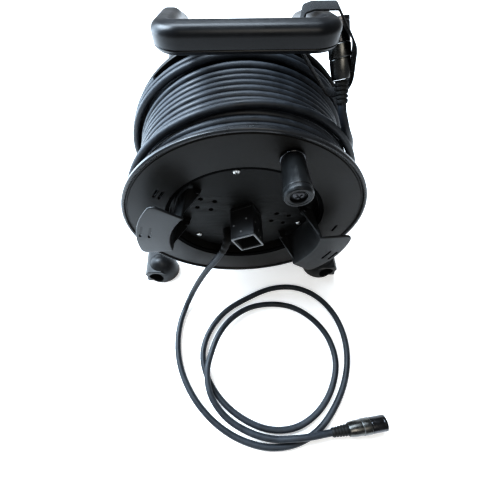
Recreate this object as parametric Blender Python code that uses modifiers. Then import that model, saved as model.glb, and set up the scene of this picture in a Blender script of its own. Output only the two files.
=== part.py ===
"""Network cable reel: a drum of data cable on a stand of two bent tubes with a moulded handle.

The drum turns on a stub axle behind it. Its front flange carries a connector plate, a crank knob,
two fold-in winding hooks and a patch lead that lies in two loops on the floor. Run it with
blender --background --python part.py, or from the text editor. Units are metres, +Z is up, the
origin is on the floor under the middle of the reel, and the front of the drum faces -Y.
"""

import math

import bmesh
import bpy
import numpy as np
from mathutils import Matrix, Vector
from mathutils.geometry import convex_hull_2d

# Gaps
GAP = 0.0003
RUNNING_GAP = 0.0006

# Drum
FLANGE_RADIUS = 0.155
FLANGE_THICKNESS = 0.004
RIM_BEAD = 0.004
RIM_DEPTH = 0.009
RIM_PROUD = 0.002
GROOVE_WIDTH = 0.0025
GROOVE_DEPTH = 0.0013
DRUM_WIDTH = 0.158
RECESS_RADIUS = 0.100
RECESS_LEDGE = 0.006
LEDGE_DEPTH = 0.0015
RECESS_DEPTH = 0.013
CUP_WALL = 0.003
SEAT_WIDTH = 0.0175
CORE_WALL = 0.0025
ROUND_STEPS = 36

# Connector plate
PLATE_THICKNESS = 0.003
PLATE_EDGE_GAP = 0.0015
SCREW_CIRCLE = 0.0835
SCREW_ANGLES = (math.radians(-19.0), math.radians(97.0), math.radians(219.0))
SCREW_HEAD_RADIUS = 0.0043
SCREW_HEAD_HEIGHT = 0.0023
SCREW_SHANK_RADIUS = 0.0020
SCREW_GRIP = 0.008
TIE_POST_RADIUS = 0.006
KNOCKOUT_RADIUS = 0.0535
KNOCKOUT_ANGLES = (math.radians(-17.0), math.radians(156.5))
KNOCKOUT_HOLE_RADIUS = 0.0030
KNOCKOUT_SPREAD = 0.0130

# Feed-through coupler
COUPLER_SIDE = 0.032
COUPLER_WALL = 0.0035
COUPLER_LENGTH = 0.047
COUPLER_TURN = math.radians(26.0)
COUPLER_OFFSET = (0.003, 0.002)
SOCKET_DEPTH = 0.024
JACK_PROUD = 0.008
PORT_WIDTH = 0.012
PORT_HEIGHT = 0.0085
PORT_DEPTH = 0.006
LATCH_WIDTH = 0.009
LATCH_HEIGHT = 0.0035
LATCH_LENGTH = 0.012
LATCH_TRAVEL = 0.0015

# Cable
CABLE_DIAMETER = 0.0092
TURN_PITCH = 0.00965
LAYER_RADIUS = 0.138
REAR_LAYER_RISE = 0.010
REAR_RISE_START = 0.113
REAR_RISE_LENGTH = 0.014
REAR_BULGE = 0.005
FIRST_TURN = 0.018
LAST_TURN = 0.1455
CROSSING_RISE = 0.0099
CLIMB_CLEARANCE = 0.12
PACK_FRONT = 0.0085
LOOP_POINTS = 24

# Crank knob
KNOB_CIRCLE = 0.125
KNOB_ANGLE = math.radians(68.5)
KNOB_LENGTH = 0.047
KNOB_BASE_RADIUS = 0.012
KNOB_END_RADIUS = 0.0148
KNOB_COLLAR_RADIUS = 0.0132
KNOB_COLLAR_HEIGHT = 0.004
SPINDLE_RADIUS = 0.004
KNOB_RECESS_RADIUS = 0.0085
KNOB_RECESS_DEPTH = 0.005

# Winding hooks
HOOK_ANGLE = math.radians(-17.5)
HINGE_RADIUS = 0.0715
HINGE_HEIGHT = 0.006
HOOK_HALF_WIDTH = 0.037
HOOK_HALF_TURN = math.radians(24.0)
HOOK_WALL = 0.003
HOOK_REACH = 0.036
HOOK_FOOT_RADIUS = 0.0875
HOOK_FOOT_GAP = 0.0035
HOOK_RIDGE_RADIUS = 0.094
TONGUE_RADIUS = 0.1335
TONGUE_CORNER = 0.009
STRAP_SLOT_LENGTH = 0.024
STRAP_SLOT_WIDTH = 0.0032
STRAP_SLOT_INSET = 0.0055
STRAP_SLOT_SPACING = 0.0100
EAR_RADIUS = 0.0045
EAR_FOOT = 0.0105
EAR_RIDGE = 0.0165
HINGE_PIN_RADIUS = 0.0020
FLANGE_SLOT_LENGTH = 0.016
FLANGE_SLOTS = (
    ("right", math.radians(-11.0), 0.1296),
    ("left_outer", math.radians(149.0), 0.1210),
    ("left_inner", math.radians(149.0), 0.1145),
)

# Stand
AXIS_HEIGHT = 0.1885
TUBE_RADIUS = 0.0125
TUBE_WALL = 0.0015
TUBE_BEND = 0.055
FOOT_SPREAD = 0.1525
TUBE_FRONT_HEIGHT = 0.0155
TUBE_REAR_HEIGHT = 0.0175
UPRIGHT_SETBACK = 0.184
UPRIGHT_TOP_SPREAD = 0.071
UPRIGHT_TOP_HEIGHT = 0.322
CROSS_PLATE_THICKNESS = 0.005
CROSS_PLATE_HEIGHT = 0.070
CROSS_PLATE_MARGIN = 0.016
BOLT_RADIUS = 0.003
BOLT_HEAD_RADIUS = 0.0058
BOLT_HEAD_HEIGHT = 0.004
BOLT_SPACING = 0.044

# Axle
AXLE_RADIUS = 0.010
AXLE_LENGTH = 0.052
AXLE_COLLAR_RADIUS = 0.016
AXLE_THREAD_RADIUS = 0.008
HUB_RADIUS = 0.021
HUB_LENGTH = 0.040
BUSH_WALL = 0.0035
BUSH_LENGTH = 0.015
BUSH_FLANGE = 0.0015
AXLE_NUT_RADIUS = 0.0135
AXLE_NUT_HEIGHT = 0.008
AXLE_CLIP_RADIUS = 0.014
AXLE_CLIP_THICKNESS = 0.0015

# Feet
SHOE_HALF_WIDTH = 0.0195
SHOE_BLOCK_TOP = 0.033
SHOE_FRONT = -0.002
SHOE_BACK = 0.042
SHOE_DOME_RADIUS = 0.027
SHOE_DOME_DEPTH = 0.021
SHOE_DOME_HEIGHT = 0.038
SHOE_DOME_INSET = 0.010
TUBE_SEAT = 0.012
REAR_FOOT_RADIUS = 0.0180
REAR_FOOT_LENGTH = 0.030
REAR_FOOT_SETBACK = 0.094

# Handle
GRIP_SETBACK = 0.048
GRIP_RISE = 0.0215
HANDLE_HALF_WIDTH = UPRIGHT_TOP_SPREAD
HANDLE_SECTION_WIDTH = 0.021
HANDLE_SECTION_HEIGHT = 0.024
HANDLE_EDGE = 0.006
HANDLE_PARTING = -0.0055
HANDLE_WALL = 0.003
HANDLE_CORNER = 0.016
ARM_SHOULDER_SETBACK = 0.118
ARM_SHOULDER_RISE = 0.0355
ARM_NECK_RISE = 0.0134
SOCKET_RADIUS = 0.0160
SOCKET_DROP = 0.030
SOCKET_CAP = 0.003
HANDLE_SCREW_RADIUS = 0.0032
HANDLE_SCREW_LENGTH = 0.002
HANDLE_SCREW_OFFSET = 0.048

# Plugs
PLUG_BARREL_RADIUS = 0.0108
PLUG_BARREL_LENGTH = 0.022
PLUG_BARREL_WALL = 0.0013
PLUG_BODY_RADIUS = 0.0112
PLUG_BODY_LENGTH = 0.033
PLUG_BOOT_RADIUS = 0.0078
PLUG_BOOT_LENGTH = 0.024
PLUG_BOOT_RIBS = 4
PLUG_INSERT_WIDTH = 0.0117
PLUG_INSERT_HEIGHT = 0.0085
PLUG_INSERT_SETBACK = 0.003

# Strap
STRAP_WIDTH = 0.016
STRAP_SETBACK = 0.089
STRAP_THICKNESS = 0.0018
STRAP_CLEARANCE = 0.0008
STRAP_SLACK = (-0.006, -0.002)

CABLE_RADIUS = CABLE_DIAMETER / 2
KNOB_END = GAP * 2 + KNOB_COLLAR_HEIGHT + KNOB_LENGTH
REAR_END = UPRIGHT_SETBACK + TUBE_RADIUS + GAP + BOLT_HEAD_HEIGHT
FRONT_Y = (KNOB_END - REAR_END) / 2
CUP_INNER = RECESS_RADIUS - RECESS_LEDGE
CUP_OUTER = CUP_INNER + CUP_WALL
SEAT_DEPTH = RECESS_DEPTH + PLATE_THICKNESS + GAP
CUP_BOTTOM = SEAT_DEPTH + CUP_WALL
CORE_INNER = CUP_OUTER + GAP
CORE_OUTER = CORE_INNER + CORE_WALL
REAR_INNER = DRUM_WIDTH - FLANGE_THICKNESS
HUB_BORE = AXLE_RADIUS + RUNNING_GAP + BUSH_WALL + GAP
AXLE_FRONT = DRUM_WIDTH + RUNNING_GAP + BUSH_FLANGE - AXLE_LENGTH
CROSS_PLATE_Y = UPRIGHT_SETBACK - TUBE_RADIUS - GAP - CROSS_PLATE_THICKNESS
ARM_SEAT_HEIGHT = UPRIGHT_TOP_HEIGHT + SOCKET_CAP + 2 * GAP
ARM_NECK_HEIGHT = ARM_SEAT_HEIGHT + ARM_NECK_RISE
ARM_SHOULDER_HEIGHT = ARM_NECK_HEIGHT + ARM_SHOULDER_RISE
GRIP_HEIGHT = ARM_SHOULDER_HEIGHT + GRIP_RISE

# The patch lead from the plate to its plug: x, depth behind the flange face, height
LEAD_ROUTE = (
    (-0.0225, 0.0097, 0.1450),
    (-0.0225, 0.0002, 0.1450),
    (-0.0250, -0.0080, 0.1415),
    (-0.0320, -0.0155, 0.1290),
    (-0.0440, -0.0195, 0.1070),
    (-0.0590, -0.0235, 0.0800),
    (-0.0740, -0.0300, 0.0500),
    (-0.0880, -0.0410, 0.0230),
    (-0.0990, -0.0580, 0.0075),
    (-0.1065, -0.0810, 0.0048),
    (-0.1095, -0.1100, 0.0048),
    (-0.1060, -0.1420, 0.0048),
    (-0.0945, -0.1740, 0.0048),
    (-0.0740, -0.2060, 0.0048),
    (-0.0450, -0.2340, 0.0048),
    (-0.0100, -0.2540, 0.0048),
    (0.0300, -0.2640, 0.0048),
    (0.0700, -0.2600, 0.0048),
    (0.1060, -0.2420, 0.0048),
    (0.1390, -0.2060, 0.0048),
    (0.1600, -0.1640, 0.0048),
    (0.1660, -0.1200, 0.0048),
    (0.1560, -0.0780, 0.0048),
    (0.1310, -0.0450, 0.0048),
    (0.0950, -0.0270, 0.0048),
    (0.0530, -0.0270, 0.0048),
    (0.0100, -0.0430, 0.0048),
    (-0.0300, -0.0660, 0.0048),
    (-0.0570, -0.0980, 0.0048),
    (-0.0680, -0.1340, 0.0048),
    (-0.0600, -0.1700, 0.0048),
    (-0.0390, -0.2020, 0.0048),
    (-0.0080, -0.2270, 0.0048),
    (0.0300, -0.2420, 0.0048),
    (0.0690, -0.2410, 0.0048),
    (0.1040, -0.2230, 0.0048),
    (0.1300, -0.1930, 0.0048),
    (0.1440, -0.1550, 0.0048),
    (0.1390, -0.1170, 0.0048),
    (0.1190, -0.0860, 0.0048),
    (0.0890, -0.0640, 0.0048),
    (0.0540, -0.0560, 0.0050),
    (0.0150, -0.0610, 0.0090),
    (-0.0170, -0.0780, 0.0120),
    (-0.0400, -0.1040, 0.0150),
    (-0.0540, -0.1360, 0.0160),
    (-0.0600, -0.1640, 0.0155),
    (-0.0540, -0.1960, 0.0150),
    (-0.0320, -0.2250, 0.0100),
    (0.0020, -0.2450, 0.0085),
    (0.0360, -0.2540, 0.0110),
    (0.0700, -0.2540, 0.0152),
    (0.0900, -0.2525, 0.0152),
    (0.1080, -0.2502, 0.0126),
    (0.1180, -0.2490, 0.0126),
)

# The outer end of the wound cable, from the winding up to the plug that is strapped to the handle
TAIL_TURN_END = math.radians(383.0)
TAIL_TURN_DEPTHS = (0.029, 0.070)
TAIL_RISE = (
    (0.1275, 0.0600, GRIP_HEIGHT - 0.1260),
    (0.1165, 0.0550, GRIP_HEIGHT - 0.1060),
)
TAIL_PLUG_BASE = (0.1065, 0.0660, GRIP_HEIGHT - 0.0802)
TAIL_PLUG_TIP = (0.0940, 0.1120, GRIP_HEIGHT - 0.0192)


def clear_scene():
    for obj in list(bpy.data.objects):
        bpy.data.objects.remove(obj)


def make_collection(name):
    collection = bpy.data.collections.new(name)
    bpy.context.scene.collection.children.link(collection)
    return collection


def make_material(name, color, roughness, metallic=0.0):
    material = bpy.data.materials.new(name)
    material.use_nodes = True
    shader = material.node_tree.nodes["Principled BSDF"]
    shader.inputs["Base Color"].default_value = (*color, 1.0)
    shader.inputs["Roughness"].default_value = roughness
    shader.inputs["Metallic"].default_value = metallic
    return material


def plastic(name, shade=0.022, roughness=0.42):
    return make_material(name, (shade, shade, shade * 1.05), roughness)


def steel(name):
    return make_material(name, (0.62, 0.62, 0.60), 0.32, 1.0)


def place(obj, parent=None, material=None, helper=False):
    """Links the object to the reel, or to the cutters, and gives it its parent and material."""
    (CUTTERS if helper else REEL).objects.link(obj)
    obj.parent = parent
    if material:
        obj.data.materials.clear()
        obj.data.materials.append(material)
    if helper:
        obj.hide_render = True
        obj.display_type = "WIRE"
    return obj


def mesh_object(name, bm):
    mesh = bpy.data.meshes.new(name)
    bm.normal_update()
    bm.to_mesh(mesh)
    bm.free()
    mesh.shade_smooth()
    mesh.set_sharp_from_angle(angle=math.radians(35))
    return bpy.data.objects.new(name, mesh)


def box(name, low, high):
    """A box between two corners."""
    bm = bmesh.new()
    bmesh.ops.create_cube(bm, size=1.0)
    size = Vector(high) - Vector(low)
    middle = (Vector(high) + Vector(low)) / 2
    bmesh.ops.scale(bm, vec=size, verts=bm.verts)
    bmesh.ops.translate(bm, vec=middle, verts=bm.verts)
    return mesh_object(name, bm)


def rod(name, radius, start, end, steps=16, end_radius=None):
    """A round bar or a cone from one point to another."""
    start = Vector(start)
    end = Vector(end)
    axis = end - start
    bm = bmesh.new()
    bmesh.ops.create_cone(
        bm,
        cap_ends=True,
        segments=steps,
        radius1=radius,
        radius2=radius if end_radius is None else end_radius,
        depth=axis.length,
    )
    turn = axis.to_track_quat("Z", "Y").to_matrix().to_4x4()
    bmesh.ops.transform(bm, matrix=Matrix.Translation((start + end) / 2) @ turn, verts=bm.verts)
    return mesh_object(name, bm)


def turned(name, outline, steps=ROUND_STEPS):
    """A turned piece on the Y axis. The outline lists (radius, depth) round the section, or from axis to axis."""
    area = 0.0
    closed = min(radius for radius, _ in outline) > 0.0
    for (r0, d0), (r1, d1) in zip(outline, outline[1:] + outline[:1]):
        area += r0 * d1 - r1 * d0
    ring = list(outline) if area < 0 else list(reversed(outline))
    bm = bmesh.new()
    verts = [bm.verts.new((radius, 0.0, depth)) for radius, depth in ring]
    for first, second in zip(verts, verts[1:]):
        bm.edges.new((first, second))
    if closed:
        bm.edges.new((verts[-1], verts[0]))
    obj = mesh_object(name, bm)
    obj.rotation_euler = (-math.pi / 2, 0.0, 0.0)
    screw = obj.modifiers.new("Turn", "SCREW")
    screw.axis = "Z"
    screw.angle = 2 * math.pi
    screw.steps = steps
    screw.render_steps = steps
    screw.use_merge_vertices = True
    screw.merge_threshold = 0.00001
    screw.use_smooth_shade = True
    return obj


def prism(name, outline, depth, bevel=0.0):
    """A flat outline in the XY plane, extruded along Z by its depth and centred on it."""
    curve = bpy.data.curves.new(name, "CURVE")
    curve.dimensions = "2D"
    curve.fill_mode = "BOTH"
    curve.extrude = depth / 2
    spline = curve.splines.new("POLY")
    spline.points.add(len(outline) - 1)
    for point, (x, y) in zip(spline.points, outline):
        point.co = (x, y, 0.0, 1.0)
    spline.use_cyclic_u = True
    return as_mesh(name, curve, bevel)


def as_mesh(name, curve, bevel=0.0):
    """The mesh of a curve with its caps joined on."""
    guide = bpy.data.objects.new(name + "_guide", curve)
    bpy.context.scene.collection.objects.link(guide)
    graph = bpy.context.evaluated_depsgraph_get()
    mesh = bpy.data.meshes.new_from_object(guide.evaluated_get(graph))
    bpy.data.objects.remove(guide)
    bm = bmesh.new()
    bm.from_mesh(mesh)
    bmesh.ops.remove_doubles(bm, verts=bm.verts, dist=0.00001)
    bmesh.ops.recalc_face_normals(bm, faces=bm.faces)
    obj = mesh_object(name, bm)
    if bevel:
        modifier = obj.modifiers.new("Edges", "BEVEL")
        modifier.width = bevel
        modifier.segments = 2
        modifier.limit_method = "ANGLE"
    return obj


def tube(name, points, radius, resolution=2):
    """A solid round tube through the points, with filled ends."""
    curve = bpy.data.curves.new(name, "CURVE")
    curve.dimensions = "3D"
    curve.bevel_depth = radius
    curve.bevel_resolution = resolution
    curve.use_fill_caps = True
    curve.twist_mode = "MINIMUM"
    spline = curve.splines.new("POLY")
    spline.points.add(len(points) - 1)
    for point, co in zip(spline.points, points):
        point.co = (*co, 1.0)
    spline.use_smooth = True
    return bpy.data.objects.new(name, curve)


def turned_part(name, rings):
    """A closed body from sections at angles about the Y axis, each a list of (radius, depth)."""
    bm = bmesh.new()
    loops = [[bm.verts.new(polar(radius, angle, depth)) for radius, depth in outline] for angle, outline in rings]
    count = len(loops[0])
    for first, second in zip(loops, loops[1:]):
        for corner in range(count):
            following = (corner + 1) % count
            bm.faces.new((first[corner], first[following], second[following], second[corner]))
    bm.faces.new(list(reversed(loops[0])))
    bm.faces.new(loops[-1])
    bmesh.ops.recalc_face_normals(bm, faces=bm.faces)
    return mesh_object(name, bm)


def swept(name, path, section):
    """A flat section carried along a path: its x stays level and its y stays square to both."""
    bm = bmesh.new()
    rings = []
    for index, point in enumerate(path):
        before = path[max(index - 1, 0)]
        after = path[min(index + 1, len(path) - 1)]
        along = (after - before).normalized()
        level = along.cross(Vector((0.0, 0.0, 1.0))).normalized()
        upright = level.cross(along)
        rings.append([bm.verts.new(point + level * x + upright * y) for x, y in section])
    count = len(section)
    for first, second in zip(rings, rings[1:]):
        for corner in range(count):
            following = (corner + 1) % count
            bm.faces.new((first[corner], first[following], second[following], second[corner]))
    bm.faces.new(list(reversed(rings[0])))
    bm.faces.new(rings[-1])
    bmesh.ops.recalc_face_normals(bm, faces=bm.faces)
    return mesh_object(name, bm)


def combine(obj, other, operation):
    """Cuts or joins another mesh object, which becomes a hidden helper on the same parent."""
    if other.name not in CUTTERS.objects:
        place(other, obj.parent, helper=True)
    modifier = obj.modifiers.new(other.name, "BOOLEAN")
    modifier.operation = operation
    modifier.solver = "EXACT"
    modifier.object = other
    return obj


def cut(obj, *others):
    for other in others:
        combine(obj, other, "DIFFERENCE")
    return obj


def join(obj, *others):
    for other in others:
        combine(obj, other, "UNION")
    return obj


def empty(name, location, parent=None, turn=0.0):
    """A frame for pieces: turned about Y, so that its X points outwards from the drum's axis."""
    obj = bpy.data.objects.new(name, None)
    obj.location = location
    obj.rotation_euler = (0.0, -turn, 0.0)
    obj.empty_display_size = 0.02
    REEL.objects.link(obj)
    obj.parent = parent
    return obj


def polar(radius, angle, depth=0.0):
    """A point on the drum, by its distance and angle about the axis and its depth behind the flange face."""
    return Vector((radius * math.cos(angle), depth, radius * math.sin(angle)))


def smooth_step(value):
    value = min(1.0, max(0.0, value))
    return value * value * (3.0 - 2.0 * value)


def smooth_curve(route, spacing):
    """Points at even spacing on a smooth curve through the route's own points."""
    knots = np.array(route, dtype=float)
    ends = np.vstack([2 * knots[0] - knots[1], knots, 2 * knots[-1] - knots[-2]])
    dense = []
    for before, first, second, after in zip(ends, ends[1:], ends[2:], ends[3:]):
        spans = [max(math.dist(a, b), 1e-6) ** 0.5 for a, b in ((before, first), (first, second), (second, after))]
        times = np.concatenate([[0.0], np.cumsum(spans)])
        slope_in = (second - before) / (times[2] - times[0])
        slope_out = (after - first) / (times[3] - times[1])
        length = times[2] - times[1]
        for u in np.linspace(0.0, 1.0, 12, endpoint=False):
            h0 = (1 + 2 * u) * (1 - u) ** 2
            h1 = u * (1 - u) ** 2
            h2 = u * u * (3 - 2 * u)
            h3 = u * u * (u - 1)
            dense.append(h0 * first + h1 * length * slope_in + h2 * second + h3 * length * slope_out)
    dense.append(knots[-1])
    dense = np.array(dense)
    along = np.concatenate([[0.0], np.cumsum(np.linalg.norm(np.diff(dense, axis=0), axis=1))])
    count = max(2, round(along[-1] / spacing) + 1)
    marks = np.linspace(0.0, along[-1], count)
    return np.stack([np.interp(marks, along, dense[:, axis]) for axis in range(3)], axis=1)


def with_straight_ends(route, spacing):
    """A smooth curve whose first and last stretches are straight, so that its ends are square."""
    inner = [tuple(point) for point in smooth_curve([tuple(point) for point in route[1:-1]], spacing)]
    return [tuple(route[0])] + inner + [tuple(route[-1])]


def path_length(points):
    return float(np.linalg.norm(np.diff(np.array(points), axis=0), axis=1).sum())


def least_gap_to_itself(points, radius):
    """The narrowest gap between stretches of one tube that are more than six of its radii apart along it."""
    points = np.array(points)
    steps = np.linalg.norm(np.diff(points, axis=0), axis=1)
    along = np.concatenate([[0.0], np.cumsum(steps)])
    fine_marks = np.arange(0.0, along[-1], radius / 2)
    fine = np.stack([np.interp(fine_marks, along, points[:, axis]) for axis in range(3)], axis=1)
    least = math.inf
    skip = round(6 * radius / (radius / 2))
    for index in range(len(fine) - skip):
        distance = np.linalg.norm(fine[index + skip:] - fine[index], axis=1).min()
        least = min(least, float(distance))
    return least - 2 * radius


def rounded_corners(corners, radius, steps=5):
    """An open path with each inner corner turned into an arc-like bend."""
    points = [Vector(corners[0])]
    for before, corner, after in zip(corners, corners[1:], corners[2:]):
        corner = Vector(corner)
        back = (Vector(before) - corner).normalized()
        ahead = (Vector(after) - corner).normalized()
        half = math.acos(max(-1.0, min(1.0, back.dot(ahead)))) / 2
        inset = radius / math.tan(half)
        centre = corner + (back + ahead).normalized() * (radius / math.sin(half))
        start = corner + back * inset - centre
        end = corner + ahead * inset - centre
        sweep = start.angle(end)
        for step in range(steps + 1):
            share = step / steps
            weight_start = math.sin((1 - share) * sweep) / math.sin(sweep)
            weight_end = math.sin(share * sweep) / math.sin(sweep)
            points.append(centre + start * weight_start + end * weight_end)
    points.append(Vector(corners[-1]))
    return points


def rounded_rectangle(half_width, half_height, edge, steps=3):
    """An outline with round corners, counter-clockwise."""
    outline = []
    for quarter, (sx, sy) in enumerate(((1, 1), (-1, 1), (-1, -1), (1, -1))):
        for step in range(steps + 1):
            angle = math.pi / 2 * (quarter + step / steps)
            x = sx * (half_width - edge) + edge * math.cos(angle)
            y = sy * (half_height - edge) + edge * math.sin(angle)
            outline.append((x, y))
    return outline


def build_front_flange(drum):
    rim = FLANGE_RADIUS - RIM_BEAD
    groove = rim - GROOVE_WIDTH - 0.001
    outline = [
        (CUP_INNER - SEAT_WIDTH, SEAT_DEPTH),
        (CUP_INNER, SEAT_DEPTH),
        (CUP_INNER, LEDGE_DEPTH),
        (RECESS_RADIUS, LEDGE_DEPTH),
        (RECESS_RADIUS, 0.0),
        (groove, 0.0),
        (groove + 0.0005, GROOVE_DEPTH),
        (groove + GROOVE_WIDTH, GROOVE_DEPTH),
        (rim, -RIM_PROUD * 0.6),
        (rim + RIM_BEAD * 0.4, -RIM_PROUD),
        (FLANGE_RADIUS - RIM_BEAD * 0.15, -RIM_PROUD * 0.6),
        (FLANGE_RADIUS, 0.001),
        (FLANGE_RADIUS, RIM_DEPTH - RIM_PROUD),
        (rim + 0.0005, RIM_DEPTH - RIM_PROUD),
        (rim - 0.001, FLANGE_THICKNESS),
        (CUP_OUTER, FLANGE_THICKNESS),
        (CUP_OUTER, CUP_BOTTOM),
        (CUP_INNER - SEAT_WIDTH, CUP_BOTTOM),
    ]
    flange = place(turned("front_flange", outline), drum, plastic("flange_black", 0.030, 0.40))
    for index, angle in enumerate(SCREW_ANGLES):
        hole = rod(
            f"seat_hole_{index + 1}",
            SCREW_SHANK_RADIUS + GAP,
            polar(SCREW_CIRCLE, angle, SEAT_DEPTH - 0.002),
            polar(SCREW_CIRCLE, angle, CUP_BOTTOM + 0.002),
            12,
        )
        cut(flange, place(hole, drum, helper=True))
    knob_hole = rod(
        "knob_hole",
        SPINDLE_RADIUS + GAP,
        polar(KNOB_CIRCLE, KNOB_ANGLE, -0.002),
        polar(KNOB_CIRCLE, KNOB_ANGLE, FLANGE_THICKNESS + 0.002),
        16,
    )
    cut(flange, place(knob_hole, drum, helper=True))
    half_width = STRAP_SLOT_WIDTH / 2
    half_length = FLANGE_SLOT_LENGTH / 2
    for name, turn, radius in FLANGE_SLOTS:
        frame = empty(f"flange_slot_frame_{name}", (0.0, 0.0, 0.0), drum, turn)
        slot = box(
            f"flange_slot_{name}",
            (radius - half_width, -0.002, -half_length),
            (radius + half_width, FLANGE_THICKNESS + 0.002, half_length),
        )
        cut(flange, place(slot, frame, helper=True))
    return flange


def build_rear_flange(drum):
    rim = FLANGE_RADIUS - RIM_BEAD
    outline = [
        (HUB_BORE, DRUM_WIDTH),
        (HUB_BORE, DRUM_WIDTH - HUB_LENGTH),
        (HUB_RADIUS, DRUM_WIDTH - HUB_LENGTH),
        (HUB_RADIUS, REAR_INNER),
        (rim - 0.001, REAR_INNER),
        (rim, REAR_INNER - RIM_DEPTH + FLANGE_THICKNESS + RIM_PROUD),
        (FLANGE_RADIUS - RIM_BEAD * 0.25, REAR_INNER - RIM_DEPTH + FLANGE_THICKNESS + RIM_PROUD),
        (FLANGE_RADIUS, REAR_INNER),
        (FLANGE_RADIUS - RIM_BEAD * 0.25, DRUM_WIDTH + RIM_PROUD * 0.5),
        (rim, DRUM_WIDTH + RIM_PROUD * 0.5),
        (rim - 0.002, DRUM_WIDTH),
    ]
    flange = place(turned("rear_flange", outline), drum, plastic("rear_flange_black", 0.030, 0.40))
    for index, angle in enumerate(SCREW_ANGLES):
        hole = rod(
            f"rear_hole_{index + 1}",
            SCREW_SHANK_RADIUS + GAP,
            polar(SCREW_CIRCLE, angle, REAR_INNER - 0.002),
            polar(SCREW_CIRCLE, angle, DRUM_WIDTH + 0.002),
            12,
        )
        cut(flange, place(hole, drum, helper=True))
    return flange


def build_core(drum):
    front = FLANGE_THICKNESS + GAP
    back = REAR_INNER - GAP
    outline = [(CORE_INNER, front), (CORE_OUTER, front), (CORE_OUTER, back), (CORE_INNER, back)]
    place(turned("drum_core", outline), drum, plastic("core_black", 0.03, 0.5))


def build_tie_posts(drum):
    """Three posts clamp the core between the flanges. They are peened at the rear and take screws in front."""
    front = CUP_BOTTOM + GAP
    back = REAR_INNER - GAP
    depth = SCREW_GRIP
    bore = SCREW_SHANK_RADIUS + GAP
    head_front = RECESS_DEPTH - GAP - SCREW_HEAD_HEIGHT
    rear_face = DRUM_WIDTH + GAP
    post_outline = [
        (0.0, front + depth),
        (bore, front + depth),
        (bore, front),
        (TIE_POST_RADIUS, front),
        (TIE_POST_RADIUS, back),
        (SCREW_SHANK_RADIUS, back),
        (SCREW_SHANK_RADIUS, rear_face),
        (SCREW_HEAD_RADIUS, rear_face),
        (SCREW_HEAD_RADIUS * 0.7, rear_face + SCREW_HEAD_HEIGHT),
        (0.0, rear_face + SCREW_HEAD_HEIGHT),
    ]
    screw_outline = [
        (0.0, head_front),
        (SCREW_HEAD_RADIUS * 0.6, head_front),
        (SCREW_HEAD_RADIUS, head_front + SCREW_HEAD_HEIGHT * 0.55),
        (SCREW_HEAD_RADIUS, RECESS_DEPTH - GAP),
        (SCREW_SHANK_RADIUS, RECESS_DEPTH - GAP),
        (SCREW_SHANK_RADIUS, front + depth - GAP),
        (0.0, front + depth - GAP),
    ]
    for index, angle in enumerate(SCREW_ANGLES):
        centre = polar(SCREW_CIRCLE, angle)
        for name, outline in (("tie_post", post_outline), ("plate_screw", screw_outline)):
            piece = turned(f"{name}_{index + 1}", outline, 10)
            piece.location = centre
            place(piece, drum, steel(f"{name}_zinc_{index + 1}"))


def build_connector_plate(drum):
    radius = CUP_INNER - PLATE_EDGE_GAP
    back = RECESS_DEPTH + PLATE_THICKNESS
    outline = [(0.0, RECESS_DEPTH), (radius, RECESS_DEPTH), (radius, back), (0.0, back)]
    plate = place(turned("connector_plate", outline, 40), drum, plastic("plate_black", 0.035, 0.48))
    for side, turn in (("right", HOOK_ANGLE), ("left", HOOK_ANGLE + math.pi)):
        frame = empty(f"hook_lugs_{side}", (0.0, 0.0, 0.0), drum, turn)
        for way in (-1, 1):
            outer = HOOK_HALF_WIDTH - HOOK_WALL - GAP
            ends = sorted((way * outer, way * (outer - HOOK_WALL)))
            lug = box(
                f"hook_lug_{side}_{way + 2}",
                (HINGE_RADIUS - EAR_RADIUS, HINGE_HEIGHT - EAR_RADIUS, ends[0]),
                (HINGE_RADIUS + EAR_RADIUS, RECESS_DEPTH + PLATE_THICKNESS / 2, ends[1]),
            )
            join(plate, place(lug, frame, helper=True))
            pin_hole = rod(
                f"lug_hole_{side}_{way + 2}",
                HINGE_PIN_RADIUS + GAP,
                (HINGE_RADIUS, HINGE_HEIGHT, ends[0] - 0.001),
                (HINGE_RADIUS, HINGE_HEIGHT, ends[1] + 0.001),
                10,
            )
            cut(plate, place(pin_hole, frame, helper=True))
    for number, angle in enumerate(SCREW_ANGLES):
        hole = plate_hole(f"plate_hole_{number}", polar(SCREW_CIRCLE, angle), SCREW_SHANK_RADIUS + GAP)
        cut(plate, place(hole, drum, helper=True))
    for group, angle in enumerate(KNOCKOUT_ANGLES):
        centre = polar(KNOCKOUT_RADIUS, angle)
        for corner in range(4):
            offset = polar(KNOCKOUT_SPREAD, math.radians(27 + 90 * corner))
            hole = plate_hole(f"knockout_{group}_{corner}", centre + offset, KNOCKOUT_HOLE_RADIUS)
            cut(plate, place(hole, drum, helper=True))
    return plate


def plate_hole(name, centre, radius):
    start = Vector((centre.x, RECESS_DEPTH - 0.002, centre.z))
    end = Vector((centre.x, RECESS_DEPTH + PLATE_THICKNESS + 0.002, centre.z))
    return rod(name, radius, start, end, 10)


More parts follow.
